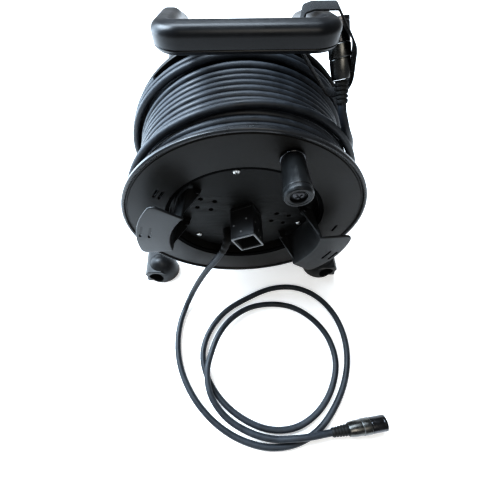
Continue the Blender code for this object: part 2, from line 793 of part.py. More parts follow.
def build_coupler(drum):
    """The feed-through coupler in the middle of the plate: housing, jack and latch."""
    offset_x, offset_z = COUPLER_OFFSET
    frame = empty("coupler_frame", (offset_x, 0.0, offset_z), drum, COUPLER_TURN)
    half = COUPLER_SIDE / 2
    back = RECESS_DEPTH - GAP
    front = back - COUPLER_LENGTH
    hollow = half - COUPLER_WALL
    housing = box("coupler_housing", (-half, front, -half), (half, back, half))
    place(housing, frame, plastic("coupler_black", 0.02, 0.45))
    pocket = box("coupler_pocket", (-hollow, front - 0.002, -hollow), (hollow, front + SOCKET_DEPTH, hollow))
    cut(housing, place(pocket, frame, helper=True))
    side = hollow - GAP
    floor = front + SOCKET_DEPTH - GAP
    jack = box("coupler_jack", (-side, floor - JACK_PROUD, -side), (side, floor, side))
    place(jack, frame, plastic("jack_black", 0.015, 0.35))
    port = box(
        "jack_port",
        (-PORT_WIDTH / 2, floor - JACK_PROUD - 0.002, -PORT_HEIGHT / 2),
        (PORT_WIDTH / 2, floor - JACK_PROUD + PORT_DEPTH, PORT_HEIGHT / 2),
    )
    cut(jack, place(port, frame, helper=True))
    latch_top = hollow - GAP
    latch = box(
        "coupler_latch",
        (-LATCH_WIDTH / 2, floor - JACK_PROUD - GAP - LATCH_LENGTH, latch_top - LATCH_HEIGHT),
        (LATCH_WIDTH / 2, floor - JACK_PROUD - GAP, latch_top),
    )
    place(latch, frame, steel("latch_nickel"))


def build_grommet(drum):
    """The rubber ring that the patch lead comes out of."""
    start = Vector(LEAD_ROUTE[0])
    reach = RECESS_DEPTH - GAP - start.y - GAP
    radius = CABLE_RADIUS * 1.75
    outline = [
        (0.0, start.y + GAP),
        (radius * 0.8, start.y + GAP),
        (radius, start.y + GAP + reach * 0.45),
        (radius, RECESS_DEPTH - GAP),
        (0.0, RECESS_DEPTH - GAP),
    ]
    grommet = turned("lead_grommet", outline, 20)
    grommet.location = (start.x, 0.0, start.z - AXIS_HEIGHT)
    place(grommet, drum, make_material("grommet_rubber", (0.012, 0.012, 0.012), 0.6))


def build_knob(drum):
    centre = polar(KNOB_CIRCLE, KNOB_ANGLE)
    axis = empty("knob_axis", centre, drum)
    collar_front = -GAP - KNOB_COLLAR_HEIGHT
    base = collar_front - GAP
    tip = base - KNOB_LENGTH
    bore = SPINDLE_RADIUS + RUNNING_GAP
    shoulder = tip + KNOB_RECESS_DEPTH
    collar_outline = [
        (SPINDLE_RADIUS + GAP, -GAP),
        (KNOB_COLLAR_RADIUS, -GAP),
        (KNOB_COLLAR_RADIUS, collar_front + 0.001),
        (KNOB_COLLAR_RADIUS - 0.001, collar_front),
        (SPINDLE_RADIUS + GAP, collar_front),
    ]
    place(turned("knob_collar", collar_outline, 16), axis, steel("collar_chrome"))
    knob_outline = [
        (bore, base),
        (KNOB_BASE_RADIUS, base),
        (KNOB_BASE_RADIUS + 0.0006, base - KNOB_LENGTH * 0.15),
        (KNOB_END_RADIUS - 0.0004, base - KNOB_LENGTH * 0.80),
        (KNOB_END_RADIUS, base - KNOB_LENGTH * 0.90),
        (KNOB_END_RADIUS - 0.0008, tip + 0.0012),
        (KNOB_END_RADIUS - 0.0025, tip),
        (KNOB_RECESS_RADIUS, tip + 0.0006),
        (KNOB_RECESS_RADIUS, shoulder),
        (bore, shoulder),
    ]
    place(turned("crank_knob", knob_outline, 20), axis, plastic("knob_black", 0.018, 0.30))
    tail = FLANGE_THICKNESS + GAP
    spindle_outline = [
        (0.0, shoulder + GAP),
        (SPINDLE_RADIUS, shoulder + GAP),
        (SPINDLE_RADIUS, tail),
        (SPINDLE_RADIUS * 1.8, tail),
        (SPINDLE_RADIUS * 1.5, tail + 0.0025),
        (0.0, tail + 0.0025),
    ]
    place(turned("knob_spindle", spindle_outline, 16), axis, steel("spindle_zinc"))
    screw_outline = [
        (0.0, shoulder - 0.0032),
        (SPINDLE_RADIUS * 1.2, shoulder - 0.0026),
        (SPINDLE_RADIUS * 1.6, shoulder - GAP),
        (0.0, shoulder - GAP),
    ]
    place(turned("knob_end_screw", screw_outline, 16), axis, steel("end_screw_zinc"))


def hook_sections():
    """The wall and tongue of a hook as sections about the drum's axis, with the tongue's outer corners rounded."""
    foot_depth = RECESS_DEPTH - HOOK_FOOT_GAP
    turns = [(1.0 - step / 4) * HOOK_HALF_TURN for step in range(1, 5)]
    sections = []
    for share in (0.0, 0.08, 0.3, 0.6, 1.0):
        turn = HOOK_HALF_TURN - share * TONGUE_CORNER / TONGUE_RADIUS
        sections.append((turn, TONGUE_RADIUS - TONGUE_CORNER * (1.0 - math.sqrt(1.0 - (1.0 - share) ** 2))))
    sections += [(turn, TONGUE_RADIUS) for turn in turns]
    sections = [(-turn, outer) for turn, outer in sections] + list(reversed(sections[:-1]))
    rings = []
    for turn, outer in sections:
        outline = [
            (HOOK_FOOT_RADIUS, foot_depth),
            (HOOK_RIDGE_RADIUS, -HOOK_REACH),
            (outer, -HOOK_REACH),
            (outer, HOOK_WALL - HOOK_REACH),
            (HOOK_RIDGE_RADIUS + HOOK_WALL, HOOK_WALL - HOOK_REACH),
            (HOOK_FOOT_RADIUS + HOOK_WALL, foot_depth),
        ]
        rings.append((turn, outline))
    return rings


def build_hook(drum, side, turn):
    """One winding hook: a curved wall with a tongue along its front edge and two ears at its foot."""
    frame = empty(f"hook_frame_{side}", (0.0, 0.0, 0.0), drum, turn)
    axis = empty(f"hook_axis_{side}", (HINGE_RADIUS, HINGE_HEIGHT, 0.0), frame)
    hook = turned_part(f"winding_hook_{side}", hook_sections())
    place(hook, frame, plastic(f"hook_black_{side}", 0.03, 0.42))
    foot = RECESS_DEPTH - HOOK_FOOT_GAP - HINGE_HEIGHT
    ridge = -HOOK_REACH - HINGE_HEIGHT
    ear_section = [
        (-EAR_RADIUS, -0.001),
        (-EAR_RADIUS * 0.92, EAR_RADIUS * 0.38),
        (-EAR_RADIUS * 0.55, EAR_RADIUS * 0.83),
        (0.0, EAR_RADIUS),
        (EAR_FOOT, foot - 0.0002),
        (EAR_RIDGE + HOOK_WALL * 0.6, ridge + HOOK_WALL * 0.4),
        (EAR_RIDGE - 0.001, ridge + HOOK_WALL * 1.6),
    ]
    for way in (-1, 1):
        ear = prism(f"hook_ear_{side}_{way + 2}", ear_section, HOOK_WALL)
        ear.location.z = way * (HOOK_HALF_WIDTH - HOOK_WALL / 2)
        join(hook, place(ear, axis, helper=True))
    for row in range(2):
        x = TONGUE_RADIUS - STRAP_SLOT_INSET - row * STRAP_SLOT_SPACING
        slot = box(
            f"hook_slot_{side}_{row + 1}",
            (x - STRAP_SLOT_WIDTH / 2, -HOOK_REACH - 0.002, -STRAP_SLOT_LENGTH / 2),
            (x + STRAP_SLOT_WIDTH / 2, HOOK_WALL - HOOK_REACH + 0.002, STRAP_SLOT_LENGTH / 2),
        )
        cut(hook, place(slot, frame, helper=True))
    reach = HOOK_HALF_WIDTH + 0.002
    pin_hole = rod(f"hook_pin_hole_{side}", HINGE_PIN_RADIUS + GAP, (0.0, 0.0, -reach), (0.0, 0.0, reach), 10)
    cut(hook, place(pin_hole, axis, helper=True))
    for way, name in ((1, "upper"), (-1, "lower")):
        inner = way * (HOOK_HALF_WIDTH - 2 * HOOK_WALL - GAP)
        outer = way * (HOOK_HALF_WIDTH + GAP)
        head = way * (HOOK_HALF_WIDTH + GAP + 0.0012)
        pin = rod(f"hook_pin_{side}_{name}", HINGE_PIN_RADIUS, (0.0, 0.0, inner), (0.0, 0.0, outer + way * 0.0006), 10)
        place(pin, axis, steel(f"pin_zinc_{side}_{name}"))
        cap = rod(f"pin_head_{side}_{name}", HINGE_PIN_RADIUS * 1.7, (0.0, 0.0, outer), (0.0, 0.0, head), 10)
        join(pin, place(cap, axis, helper=True))
    return hook


def winding_radius(depth, angle):
    """The radius of the outer layer's turns: they ride one layer higher, and looser, towards the rear."""
    rise = smooth_step((depth - REAR_RISE_START) / REAR_RISE_LENGTH)
    bulge = max(0.0, -math.cos(angle)) ** 2
    return LAYER_RADIUS + rise * (REAR_LAYER_RISE + REAR_BULGE * bulge)


def winding_points():
    """The outer layer from the rear flange to the front, then one loose turn back across it."""
    climb_start = math.radians(-150.0)
    climb_end = math.radians(-90.0)
    over_right = math.radians(0.0)
    finish = math.radians(195.0)
    step_angle = 2 * math.pi / LOOP_POINTS
    turns = (LAST_TURN - FIRST_TURN) / TURN_PITCH
    start = climb_start - round(turns * LOOP_POINTS) * step_angle
    count = round((finish - start) / step_angle)
    right_depth = 0.052
    left_depth = 0.0270
    points = []
    for angle in np.linspace(start, finish, count + 1):
        layer_depth = FIRST_TURN + TURN_PITCH * (climb_start - angle) / (2 * math.pi)
        neighbour = layer_depth + TURN_PITCH
        climb = math.pi / 2 * smooth_step((angle - climb_start) / (climb_end - climb_start))
        depth = layer_depth
        radius = winding_radius(depth, angle)
        if angle > climb_start:
            clear = 1.0 + CLIMB_CLEARANCE * math.sin(2 * climb)
            depth = neighbour - TURN_PITCH * math.cos(climb) * clear
            radius = LAYER_RADIUS + CROSSING_RISE * math.sin(climb) * clear
        if angle > climb_end:
            low = FIRST_TURN + TURN_PITCH * (climb_start - climb_end) / (2 * math.pi) + TURN_PITCH
            if angle < over_right:
                share = smooth_step((angle - climb_end) / (over_right - climb_end))
                depth = low + (right_depth - low) * share
            else:
                share = smooth_step((angle - over_right) / (finish - over_right))
                depth = right_depth + (left_depth - right_depth) * share
        points.append(polar(radius, angle, depth))
    return points


def build_winding(drum):
    points = winding_points()
    cable = tube("wound_cable", [tuple(point) for point in points], CABLE_RADIUS, 1)
    place(cable, drum, make_material("cable_jacket", (0.028, 0.031, 0.036), 0.62))
    print(f"wound cable: least gap to itself {least_gap_to_itself(points, CABLE_RADIUS) * 1000:.2f} mm")
    front = PACK_FRONT
    back = REAR_INNER - GAP
    inner = CORE_OUTER + GAP
    sag = (LAYER_RADIUS + REAR_LAYER_RISE) * (1.0 - math.cos(math.pi / LOOP_POINTS))
    low = LAYER_RADIUS - CABLE_RADIUS - sag - 2 * GAP
    high = low + REAR_LAYER_RISE
    rise_start = REAR_RISE_START + TURN_PITCH * 0.5
    rise_end = REAR_RISE_START + REAR_RISE_LENGTH + TURN_PITCH * 0.7
    outline = [(inner, front), (low, front), (low, rise_start), (high, rise_end), (high, back), (inner, back)]
    place(turned("cable_pack", outline), drum, make_material("pack_jacket", (0.02, 0.022, 0.026), 0.65))


def build_lead(drum):
    """The patch lead: out of the plate, down to the floor, round two loops and into its plug."""
    route = [Vector((x, depth, height - AXIS_HEIGHT)) for x, depth, height in LEAD_ROUTE]
    points = with_straight_ends(route, CABLE_DIAMETER * 2.95)
    lead = tube("patch_lead", [tuple(point) for point in points], CABLE_RADIUS, 2)
    place(lead, drum, make_material("lead_jacket", (0.028, 0.031, 0.036), 0.62))
    print(f"patch lead: {path_length(points):.3f} m, {len(points)} points")
    print(f"patch lead: least gap to itself {least_gap_to_itself(points, CABLE_RADIUS) * 1000:.2f} mm")
    last = Vector(points[-1])
    direction = Vector((route[-1] - route[-2]).to_tuple())
    direction.z = 0.0
    base = last + direction.normalized() * GAP
    base.z = last.z
    build_plug("lead_plug", drum, base, direction)


def build_tail(parent):
    """The outer end of the wound cable, which leaves the winding and rises to the plug on the handle."""
    before, end = winding_points()[-2:]
    onwards = (end - before).normalized()
    lift = Vector((0.0, 0.0, AXIS_HEIGHT))
    route = [end + onwards * GAP + lift, end + onwards * (GAP + CABLE_DIAMETER) + lift]
    start = math.radians(205.0)
    for step in range(9):
        share = step / 8
        radius = LAYER_RADIUS + CROSSING_RISE + 0.001 * smooth_step(share * 4)
        angle = start + (TAIL_TURN_END - start) * share
        depth = TAIL_TURN_DEPTHS[0] + (TAIL_TURN_DEPTHS[1] - TAIL_TURN_DEPTHS[0]) * share
        route.append(polar(radius, angle, depth) + lift)
    route += [Vector(point) for point in TAIL_RISE]
    base = Vector(TAIL_PLUG_BASE)
    tip = Vector(TAIL_PLUG_TIP)
    axis = (tip - base).normalized()
    route.append(base - axis * CABLE_DIAMETER)
    route.append(base - axis * GAP)
    points = with_straight_ends(route, CABLE_DIAMETER * 2.4)
    tail = tube("tail_cable", [tuple(point) for point in points], CABLE_RADIUS, 2)
    place(tail, parent, make_material("tail_jacket", (0.028, 0.031, 0.036), 0.62))
    print(f"tail cable: {path_length(points):.3f} m, {len(points)} points")
    build_plug("tail_plug", parent, base, axis)


def build_plug(name, parent, base, direction):
    """A round data plug: ribbed boot, body, open barrel and the contact block inside it."""
    frame = bpy.data.objects.new(name + "_frame", None)
    frame.empty_display_size = 0.01
    REEL.objects.link(frame)
    frame.parent = parent
    frame.location = base
    frame.rotation_euler = Vector(direction).to_track_quat("Y", "Z").to_euler()
    boot = [(0.0, 0.0), (PLUG_BOOT_RADIUS * 0.78, 0.0)]
    rib = PLUG_BOOT_LENGTH / (PLUG_BOOT_RIBS + 0.5)
    for index in range(PLUG_BOOT_RIBS):
        reach = PLUG_BOOT_RADIUS * (0.82 + 0.18 * (index + 1) / PLUG_BOOT_RIBS)
        boot.append((reach, rib * (index + 0.35)))
        boot.append((reach, rib * (index + 0.75)))
        boot.append((reach * 0.86, rib * (index + 0.8)))
        boot.append((reach * 0.86, rib * (index + 1.1)))
    boot.append((PLUG_BOOT_RADIUS, PLUG_BOOT_LENGTH))
    boot.append((0.0, PLUG_BOOT_LENGTH))
    place(turned(name + "_boot", boot, 10), frame, plastic(name + "_boot_black", 0.015, 0.5))
    body_start = PLUG_BOOT_LENGTH + GAP
    body_end = body_start + PLUG_BODY_LENGTH
    body = [
        (0.0, body_start),
        (PLUG_BODY_RADIUS * 0.80, body_start),
        (PLUG_BODY_RADIUS * 0.92, body_start + PLUG_BODY_LENGTH * 0.25),
        (PLUG_BODY_RADIUS * 0.94, body_start + PLUG_BODY_LENGTH * 0.62),
        (PLUG_BODY_RADIUS, body_start + PLUG_BODY_LENGTH * 0.66),
        (PLUG_BODY_RADIUS, body_end),
        (0.0, body_end),
    ]
    place(turned(name + "_body", body, 16), frame, make_material(name + "_body_black", (0.02, 0.02, 0.022), 0.32, 0.6))
    barrel_start = body_end + GAP
    barrel_end = barrel_start + PLUG_BARREL_LENGTH
    inner = PLUG_BARREL_RADIUS - PLUG_BARREL_WALL
    barrel = [
        (0.0, barrel_start),
        (PLUG_BARREL_RADIUS, barrel_start),
        (PLUG_BARREL_RADIUS, barrel_end - 0.0008),
        (PLUG_BARREL_RADIUS - 0.0004, barrel_end),
        (inner, barrel_end),
        (inner, barrel_start + PLUG_INSERT_SETBACK),
        (0.0, barrel_start + PLUG_INSERT_SETBACK),
    ]
    place(turned(name + "_barrel", barrel, 16), frame, make_material(name + "_nickel", (0.12, 0.12, 0.13), 0.25, 0.9))
    insert = box(
        name + "_insert",
        (-PLUG_INSERT_WIDTH / 2, barrel_start + PLUG_INSERT_SETBACK + GAP, -PLUG_INSERT_HEIGHT / 2),
        (PLUG_INSERT_WIDTH / 2, barrel_end - PLUG_INSERT_SETBACK, PLUG_INSERT_HEIGHT / 2),
    )
    place(insert, frame, make_material(name + "_insert_clear", (0.55, 0.55, 0.52), 0.2))


def upright_x(height):
    """How far out the sloping uprights are at a height."""
    share = (height - TUBE_REAR_HEIGHT) / (UPRIGHT_TOP_HEIGHT - TUBE_REAR_HEIGHT)
    return FOOT_SPREAD + (UPRIGHT_TOP_SPREAD - FOOT_SPREAD) * share


def build_stand_tube(stand, side, way):
    corners = [
        (way * FOOT_SPREAD, TUBE_SEAT, TUBE_FRONT_HEIGHT),
        (way * FOOT_SPREAD, UPRIGHT_SETBACK, TUBE_REAR_HEIGHT),
        (way * UPRIGHT_TOP_SPREAD, UPRIGHT_SETBACK, UPRIGHT_TOP_HEIGHT),
    ]
    path = rounded_corners(corners, TUBE_BEND, 7)
    curve = bpy.data.curves.new(f"tube_path_{side}", "CURVE")
    curve.dimensions = "3D"
    curve.bevel_depth = TUBE_RADIUS
    curve.bevel_resolution = 3
    spline = curve.splines.new("POLY")
    spline.points.add(len(path) - 1)
    for point, co in zip(spline.points, path):
        point.co = (*co, 1.0)
    obj = as_mesh(f"stand_tube_{side}", curve)
    shell = obj.modifiers.new("Wall", "SOLIDIFY")
    shell.thickness = TUBE_WALL
    shell.offset = -1.0
    place(obj, stand, plastic(f"tube_coat_{side}", 0.025, 0.35))
    for level in bolt_heights():
        x = way * upright_x(level)
        hole = rod(
            f"tube_hole_{side}_{round(level * 1000)}",
            BOLT_RADIUS + GAP,
            (x, UPRIGHT_SETBACK - 2 * TUBE_RADIUS, level),
            (x, UPRIGHT_SETBACK + 2 * TUBE_RADIUS, level),
            12,
        )
        cut(obj, place(hole, stand, helper=True))
    return obj


def bolt_heights():
    return (AXIS_HEIGHT - BOLT_SPACING / 2, AXIS_HEIGHT + BOLT_SPACING / 2)


def build_cross_plate(stand):
    """The steel plate that joins the uprights and carries the axle, with its four bolts."""
    low = AXIS_HEIGHT - CROSS_PLATE_HEIGHT / 2
    high = AXIS_HEIGHT + CROSS_PLATE_HEIGHT / 2
    low_x = upright_x(low) + CROSS_PLATE_MARGIN
    high_x = upright_x(high) + CROSS_PLATE_MARGIN
    outline = [(-low_x, low), (low_x, low), (high_x, high), (-high_x, high)]
    plate = prism("cross_plate", outline, CROSS_PLATE_THICKNESS)
    plate.rotation_euler = (math.pi / 2, 0.0, 0.0)
    plate.location.y = CROSS_PLATE_Y + CROSS_PLATE_THICKNESS / 2
    place(plate, stand, plastic("plate_coat", 0.025, 0.4))
    axle_hole = rod(
        "axle_hole",
        AXLE_THREAD_RADIUS + GAP,
        (0.0, CROSS_PLATE_Y - 0.002, AXIS_HEIGHT),
        (0.0, CROSS_PLATE_Y + CROSS_PLATE_THICKNESS + 0.002, AXIS_HEIGHT),
        20,
    )
    cut(plate, place(axle_hole, stand, helper=True))
    for side, way in (("left", -1), ("right", 1)):
        for name, level in zip(("lower", "upper"), bolt_heights()):
            x = way * upright_x(level)
            hole = rod(
                f"cross_hole_{side}_{name}",
                BOLT_RADIUS + GAP,
                (x, CROSS_PLATE_Y - 0.002, level),
                (x, CROSS_PLATE_Y + CROSS_PLATE_THICKNESS + 0.002, level),
                12,
            )
            cut(plate, place(hole, stand, helper=True))
            back = UPRIGHT_SETBACK + TUBE_RADIUS + GAP
            shank = rod(
                f"cross_bolt_{side}_{name}",
                BOLT_RADIUS,
                (x, CROSS_PLATE_Y, level),
                (x, back + 0.001, level),
                12,
            )
            place(shank, stand, steel(f"bolt_zinc_{side}_{name}"))
            head = rod(
                f"bolt_head_{side}_{name}",
                BOLT_HEAD_RADIUS,
                (x, back, level),
                (x, back + BOLT_HEAD_HEIGHT, level),
                6,
            )
            join(shank, place(head, stand, helper=True))


def build_axle(stand):
    """The stub axle with its nut behind the plate, the two bushes of the hub and the clip at its front end."""
    collar_back = CROSS_PLATE_Y - GAP
    collar_front = DRUM_WIDTH + 2 * RUNNING_GAP + BUSH_FLANGE
    plate_back = CROSS_PLATE_Y + CROSS_PLATE_THICKNESS
    thread_end = plate_back + GAP + AXLE_NUT_HEIGHT + 0.002
    axle = [
        (0.0, AXLE_FRONT),
        (AXLE_RADIUS, AXLE_FRONT),
        (AXLE_RADIUS, collar_front),
        (AXLE_COLLAR_RADIUS, collar_front),
        (AXLE_COLLAR_RADIUS, collar_back),
        (AXLE_THREAD_RADIUS, collar_back),
        (AXLE_THREAD_RADIUS, thread_end),
        (0.0, thread_end),
    ]
    centre = (0.0, 0.0, AXIS_HEIGHT)
    piece = turned("axle", axle, 24)
    piece.location = centre
    place(piece, stand, steel("axle_steel"))
    nut_start = plate_back + GAP
    nut_end = nut_start + AXLE_NUT_HEIGHT
    nut = rod("axle_nut", AXLE_NUT_RADIUS, (0.0, nut_start, AXIS_HEIGHT), (0.0, nut_end, AXIS_HEIGHT), 6)
    place(nut, stand, steel("axle_nut_zinc"))
    nut_bore = rod(
        "axle_nut_bore",
        AXLE_THREAD_RADIUS + GAP,
        (0.0, nut_start - 0.002, AXIS_HEIGHT),
        (0.0, nut_end + 0.002, AXIS_HEIGHT),
        24,
    )
    cut(nut, place(nut_bore, stand, helper=True))
    hub_front = DRUM_WIDTH - HUB_LENGTH
    clip_back = hub_front - RUNNING_GAP - BUSH_FLANGE - RUNNING_GAP
    clip = [
        (AXLE_RADIUS + GAP, clip_back - AXLE_CLIP_THICKNESS),
        (AXLE_CLIP_RADIUS, clip_back - AXLE_CLIP_THICKNESS),
        (AXLE_CLIP_RADIUS, clip_back),
        (AXLE_RADIUS + GAP, clip_back),
    ]
    piece = turned("axle_clip", clip, 20)
    piece.location = centre
    place(piece, stand, steel("clip_steel"))


def build_bushes(drum):
    bore = AXLE_RADIUS + RUNNING_GAP
    outer = HUB_BORE - GAP
    lip = outer + 0.003
    hub_front = DRUM_WIDTH - HUB_LENGTH
    for name, face, inwards in (("front", hub_front, 1), ("rear", DRUM_WIDTH, -1)):
        seat = face - inwards * GAP
        outline = [
            (bore, seat - inwards * BUSH_FLANGE),
            (lip, seat - inwards * BUSH_FLANGE),
            (lip, seat),
            (outer, seat),
            (outer, seat + inwards * BUSH_LENGTH),
            (bore, seat + inwards * BUSH_LENGTH),
        ]
        place(turned(f"hub_bush_{name}", outline, 16), drum, make_material(f"bush_nylon_{name}", (0.7, 0.68, 0.6), 0.4))


def build_front_foot(stand, side, way):
    """A moulded shoe: a block with a round bore that shows from the front, and a rounded shoulder beside it."""
    centre = Vector((way * FOOT_SPREAD, 0.0, 0.0))
    half = SHOE_HALF_WIDTH
    outline = [
        (-half, 0.0),
        (half, 0.0),
        (half * 0.86, SHOE_BLOCK_TOP * 0.45),
        (half * 0.92, SHOE_BLOCK_TOP * 0.72),
        (half * 0.60, SHOE_BLOCK_TOP),
        (-half * 0.60, SHOE_BLOCK_TOP),
        (-half * 0.92, SHOE_BLOCK_TOP * 0.72),
        (-half * 0.86, SHOE_BLOCK_TOP * 0.45),
    ]
    shoe = prism(f"front_foot_{side}", outline, SHOE_BACK - SHOE_FRONT)
    shoe.rotation_euler = (math.pi / 2, 0.0, 0.0)
    shoe.location = centre + Vector((0.0, (SHOE_FRONT + SHOE_BACK) / 2, 0.0))
    place(shoe, stand, plastic(f"foot_black_{side}", 0.03, 0.45))
    bm = bmesh.new()
    bmesh.ops.create_uvsphere(bm, u_segments=16, v_segments=10, radius=1.0)
    size = Vector((SHOE_DOME_RADIUS, SHOE_DOME_DEPTH, SHOE_DOME_HEIGHT))
    bmesh.ops.scale(bm, vec=size, verts=bm.verts)
    dome = mesh_object(f"foot_dome_{side}", bm)
    dome.location = centre + Vector((-way * SHOE_DOME_INSET, SHOE_FRONT + SHOE_DOME_DEPTH + 0.001, 0.0))
    join(shoe, place(dome, stand, helper=True))
    below = box(
        f"foot_floor_{side}",
        centre + Vector((-0.08, -0.08, -0.08)),
        centre + Vector((0.08, 0.08, 0.0)),
    )
    cut(shoe, place(below, stand, helper=True))
    seat = Vector((0.0, TUBE_SEAT - GAP, TUBE_FRONT_HEIGHT))
    slope = Vector((0.0, UPRIGHT_SETBACK - TUBE_SEAT, TUBE_REAR_HEIGHT - TUBE_FRONT_HEIGHT)).normalized()
    start = centre + seat
    bore = rod(f"foot_bore_{side}", TUBE_RADIUS + GAP, start - slope * 0.03, start + slope * 0.06, 24)
    cut(shoe, place(bore, stand, helper=True))
    return shoe


def build_rear_foot(stand, side, way):
    """A rubber sleeve round the tube with a flat sole."""
    slope = (TUBE_REAR_HEIGHT - TUBE_FRONT_HEIGHT) / (UPRIGHT_SETBACK - TUBE_SEAT)
    start = REAR_FOOT_SETBACK
    end = REAR_FOOT_SETBACK + REAR_FOOT_LENGTH
    heights = [TUBE_FRONT_HEIGHT + slope * (depth - TUBE_SEAT) for depth in (start - 0.01, start, end, end + 0.01)]
    x = way * FOOT_SPREAD
    sleeve = rod(f"rear_foot_{side}", REAR_FOOT_RADIUS, (x, start, heights[1]), (x, end, heights[2]), 24)
    place(sleeve, stand, make_material(f"sleeve_rubber_{side}", (0.02, 0.02, 0.02), 0.7))
    bore = rod(
        f"sleeve_bore_{side}",
        TUBE_RADIUS + GAP,
        (x, start - 0.01, heights[0]),
        (x, end + 0.01, heights[3]),
        24,
    )
    below = box(f"sleeve_floor_{side}", (x - 0.03, start - 0.02, -0.03), (x + 0.03, end + 0.02, 0.0))
    cut(sleeve, place(bore, stand, helper=True), place(below, stand, helper=True))


def tube_top(way):
    """The upper end of an upright and the direction down along it."""
    top = Vector((way * UPRIGHT_TOP_SPREAD, UPRIGHT_SETBACK, UPRIGHT_TOP_HEIGHT))
    foot = Vector((way * FOOT_SPREAD, UPRIGHT_SETBACK, TUBE_REAR_HEIGHT))
    return top, (foot - top).normalized()


def handle_path():
    """The middle line of the handle, from the left socket over the arm and grip to the right one."""
    half = [
        (-HANDLE_HALF_WIDTH, UPRIGHT_SETBACK, ARM_SEAT_HEIGHT),
        (-HANDLE_HALF_WIDTH, UPRIGHT_SETBACK - GAP, ARM_NECK_HEIGHT),
        (-HANDLE_HALF_WIDTH, ARM_SHOULDER_SETBACK, ARM_SHOULDER_HEIGHT),
        (-HANDLE_HALF_WIDTH, GRIP_SETBACK, GRIP_HEIGHT),
    ]
    corners = half + [(-x, y, z) for x, y, z in reversed(half)]
    return rounded_corners(corners, HANDLE_CORNER, 3)


def build_handle(stand):
    """The two shells of the handle, swept along one path and parted below its mid height."""
    path = handle_path()
    half_width = HANDLE_SECTION_WIDTH / 2
    half_height = HANDLE_SECTION_HEIGHT / 2
    outer = rounded_rectangle(half_width, half_height, HANDLE_EDGE, 2)
    inner = rounded_rectangle(half_width - HANDLE_WALL, half_height - HANDLE_WALL, HANDLE_EDGE - HANDLE_WALL, 1)
    shells = []
    for name, sign in (("upper", 1), ("lower", -1)):
        outside = [(x, y) for x, y in outer if y * sign > 0]
        inside = [(x, y) for x, y in inner if y * sign > 0]
        right = half_width * sign
        wall = HANDLE_WALL * sign
        seam = HANDLE_PARTING + GAP * sign
        section = [(right, seam)] + outside + [(-right, seam), (-right + wall, seam)]
        section += list(reversed(inside)) + [(right - wall, seam)]
        shell = swept(f"handle_{name}_shell", path, section)
        place(shell, stand, plastic(f"handle_black_{name}", 0.02, 0.33))
        shells.append(shell)
    return shells


def build_handle_socket(stand, side, way):
    """A moulded cap that slides over the top of an upright and seats the end of an arm."""
    top, down = tube_top(way)
    level = UPRIGHT_TOP_HEIGHT + SOCKET_CAP + GAP
    socket = rod(f"handle_socket_{side}", SOCKET_RADIUS, top - down * 0.02, top + down * SOCKET_DROP, 20)
    place(socket, stand, plastic(f"socket_black_{side}", 0.02, 0.4))
    above = box(f"socket_top_{side}", top + Vector((-0.05, -0.05, level - top.z)), top + Vector((0.05, 0.05, 0.05)))
    bore = rod(f"socket_bore_{side}", TUBE_RADIUS + GAP, top - down * GAP, top + down * 0.06, 24)
    cut(socket, place(above, stand, helper=True), place(bore, stand, helper=True))


def build_handle_screws(stand, lower):
    bottom = GRIP_HEIGHT - HANDLE_SECTION_HEIGHT / 2
    for side, way in (("left", -1), ("right", 1)):
        x = way * HANDLE_SCREW_OFFSET
        pocket = rod(
            f"handle_screw_pocket_{side}",
            HANDLE_SCREW_RADIUS + GAP,
            (x, GRIP_SETBACK, bottom - 0.002),
            (x, GRIP_SETBACK, bottom + HANDLE_SCREW_LENGTH + GAP),
            12,
        )
        cut(lower, place(pocket, stand, helper=True))
        screw = rod(
            f"handle_screw_{side}",
            HANDLE_SCREW_RADIUS,
            (x, GRIP_SETBACK, bottom),
            (x, GRIP_SETBACK, bottom + HANDLE_SCREW_LENGTH),
            12,
        )
        place(screw, stand, steel(f"handle_screw_zinc_{side}"))


def strapped_points():
    """The edges of the arm and of the plug where the strap goes round them, as x and height."""
    base = Vector(TAIL_PLUG_BASE)
    axis = Vector(TAIL_PLUG_TIP) - base
    axis.normalize()
    side = axis.cross(Vector((0.0, 0.0, 1.0))).normalized()
    upright = side.cross(axis)
    half_width = HANDLE_SECTION_WIDTH / 2
    half_height = HANDLE_SECTION_HEIGHT / 2
    points = []
    for depth in (STRAP_SETBACK - STRAP_WIDTH / 2, STRAP_SETBACK + STRAP_WIDTH / 2):
        share = (depth - GRIP_SETBACK) / (ARM_SHOULDER_SETBACK - GRIP_SETBACK)
        height = GRIP_HEIGHT - GRIP_RISE * share
        for x in (-half_width, half_width):
            points.append((HANDLE_HALF_WIDTH + x, height - half_height - 0.0006))
            points.append((HANDLE_HALF_WIDTH + x, height + half_height + 0.0006))
        for step in range(16):
            angle = math.pi * step / 8
            edge = (side * math.cos(angle) + upright * math.sin(angle)) * PLUG_BODY_RADIUS
            point = base + edge + axis * ((depth - base.y - edge.y) / axis.y)
            points.append((point.x, point.z))
    return points


def strap_loop(offset):
    """The outline of the strap: a belt round the arm and the plug, with some slack on the inner side."""
    swollen = []
    for x, height in strapped_points():
        for slack_x, slack_z in ((0.0, 0.0), STRAP_SLACK):
            for step in range(8):
                angle = math.pi * step / 4
                swollen.append((x + slack_x + offset * math.cos(angle), height + slack_z + offset * math.sin(angle)))
    return [swollen[index] for index in convex_hull_2d(swollen)]


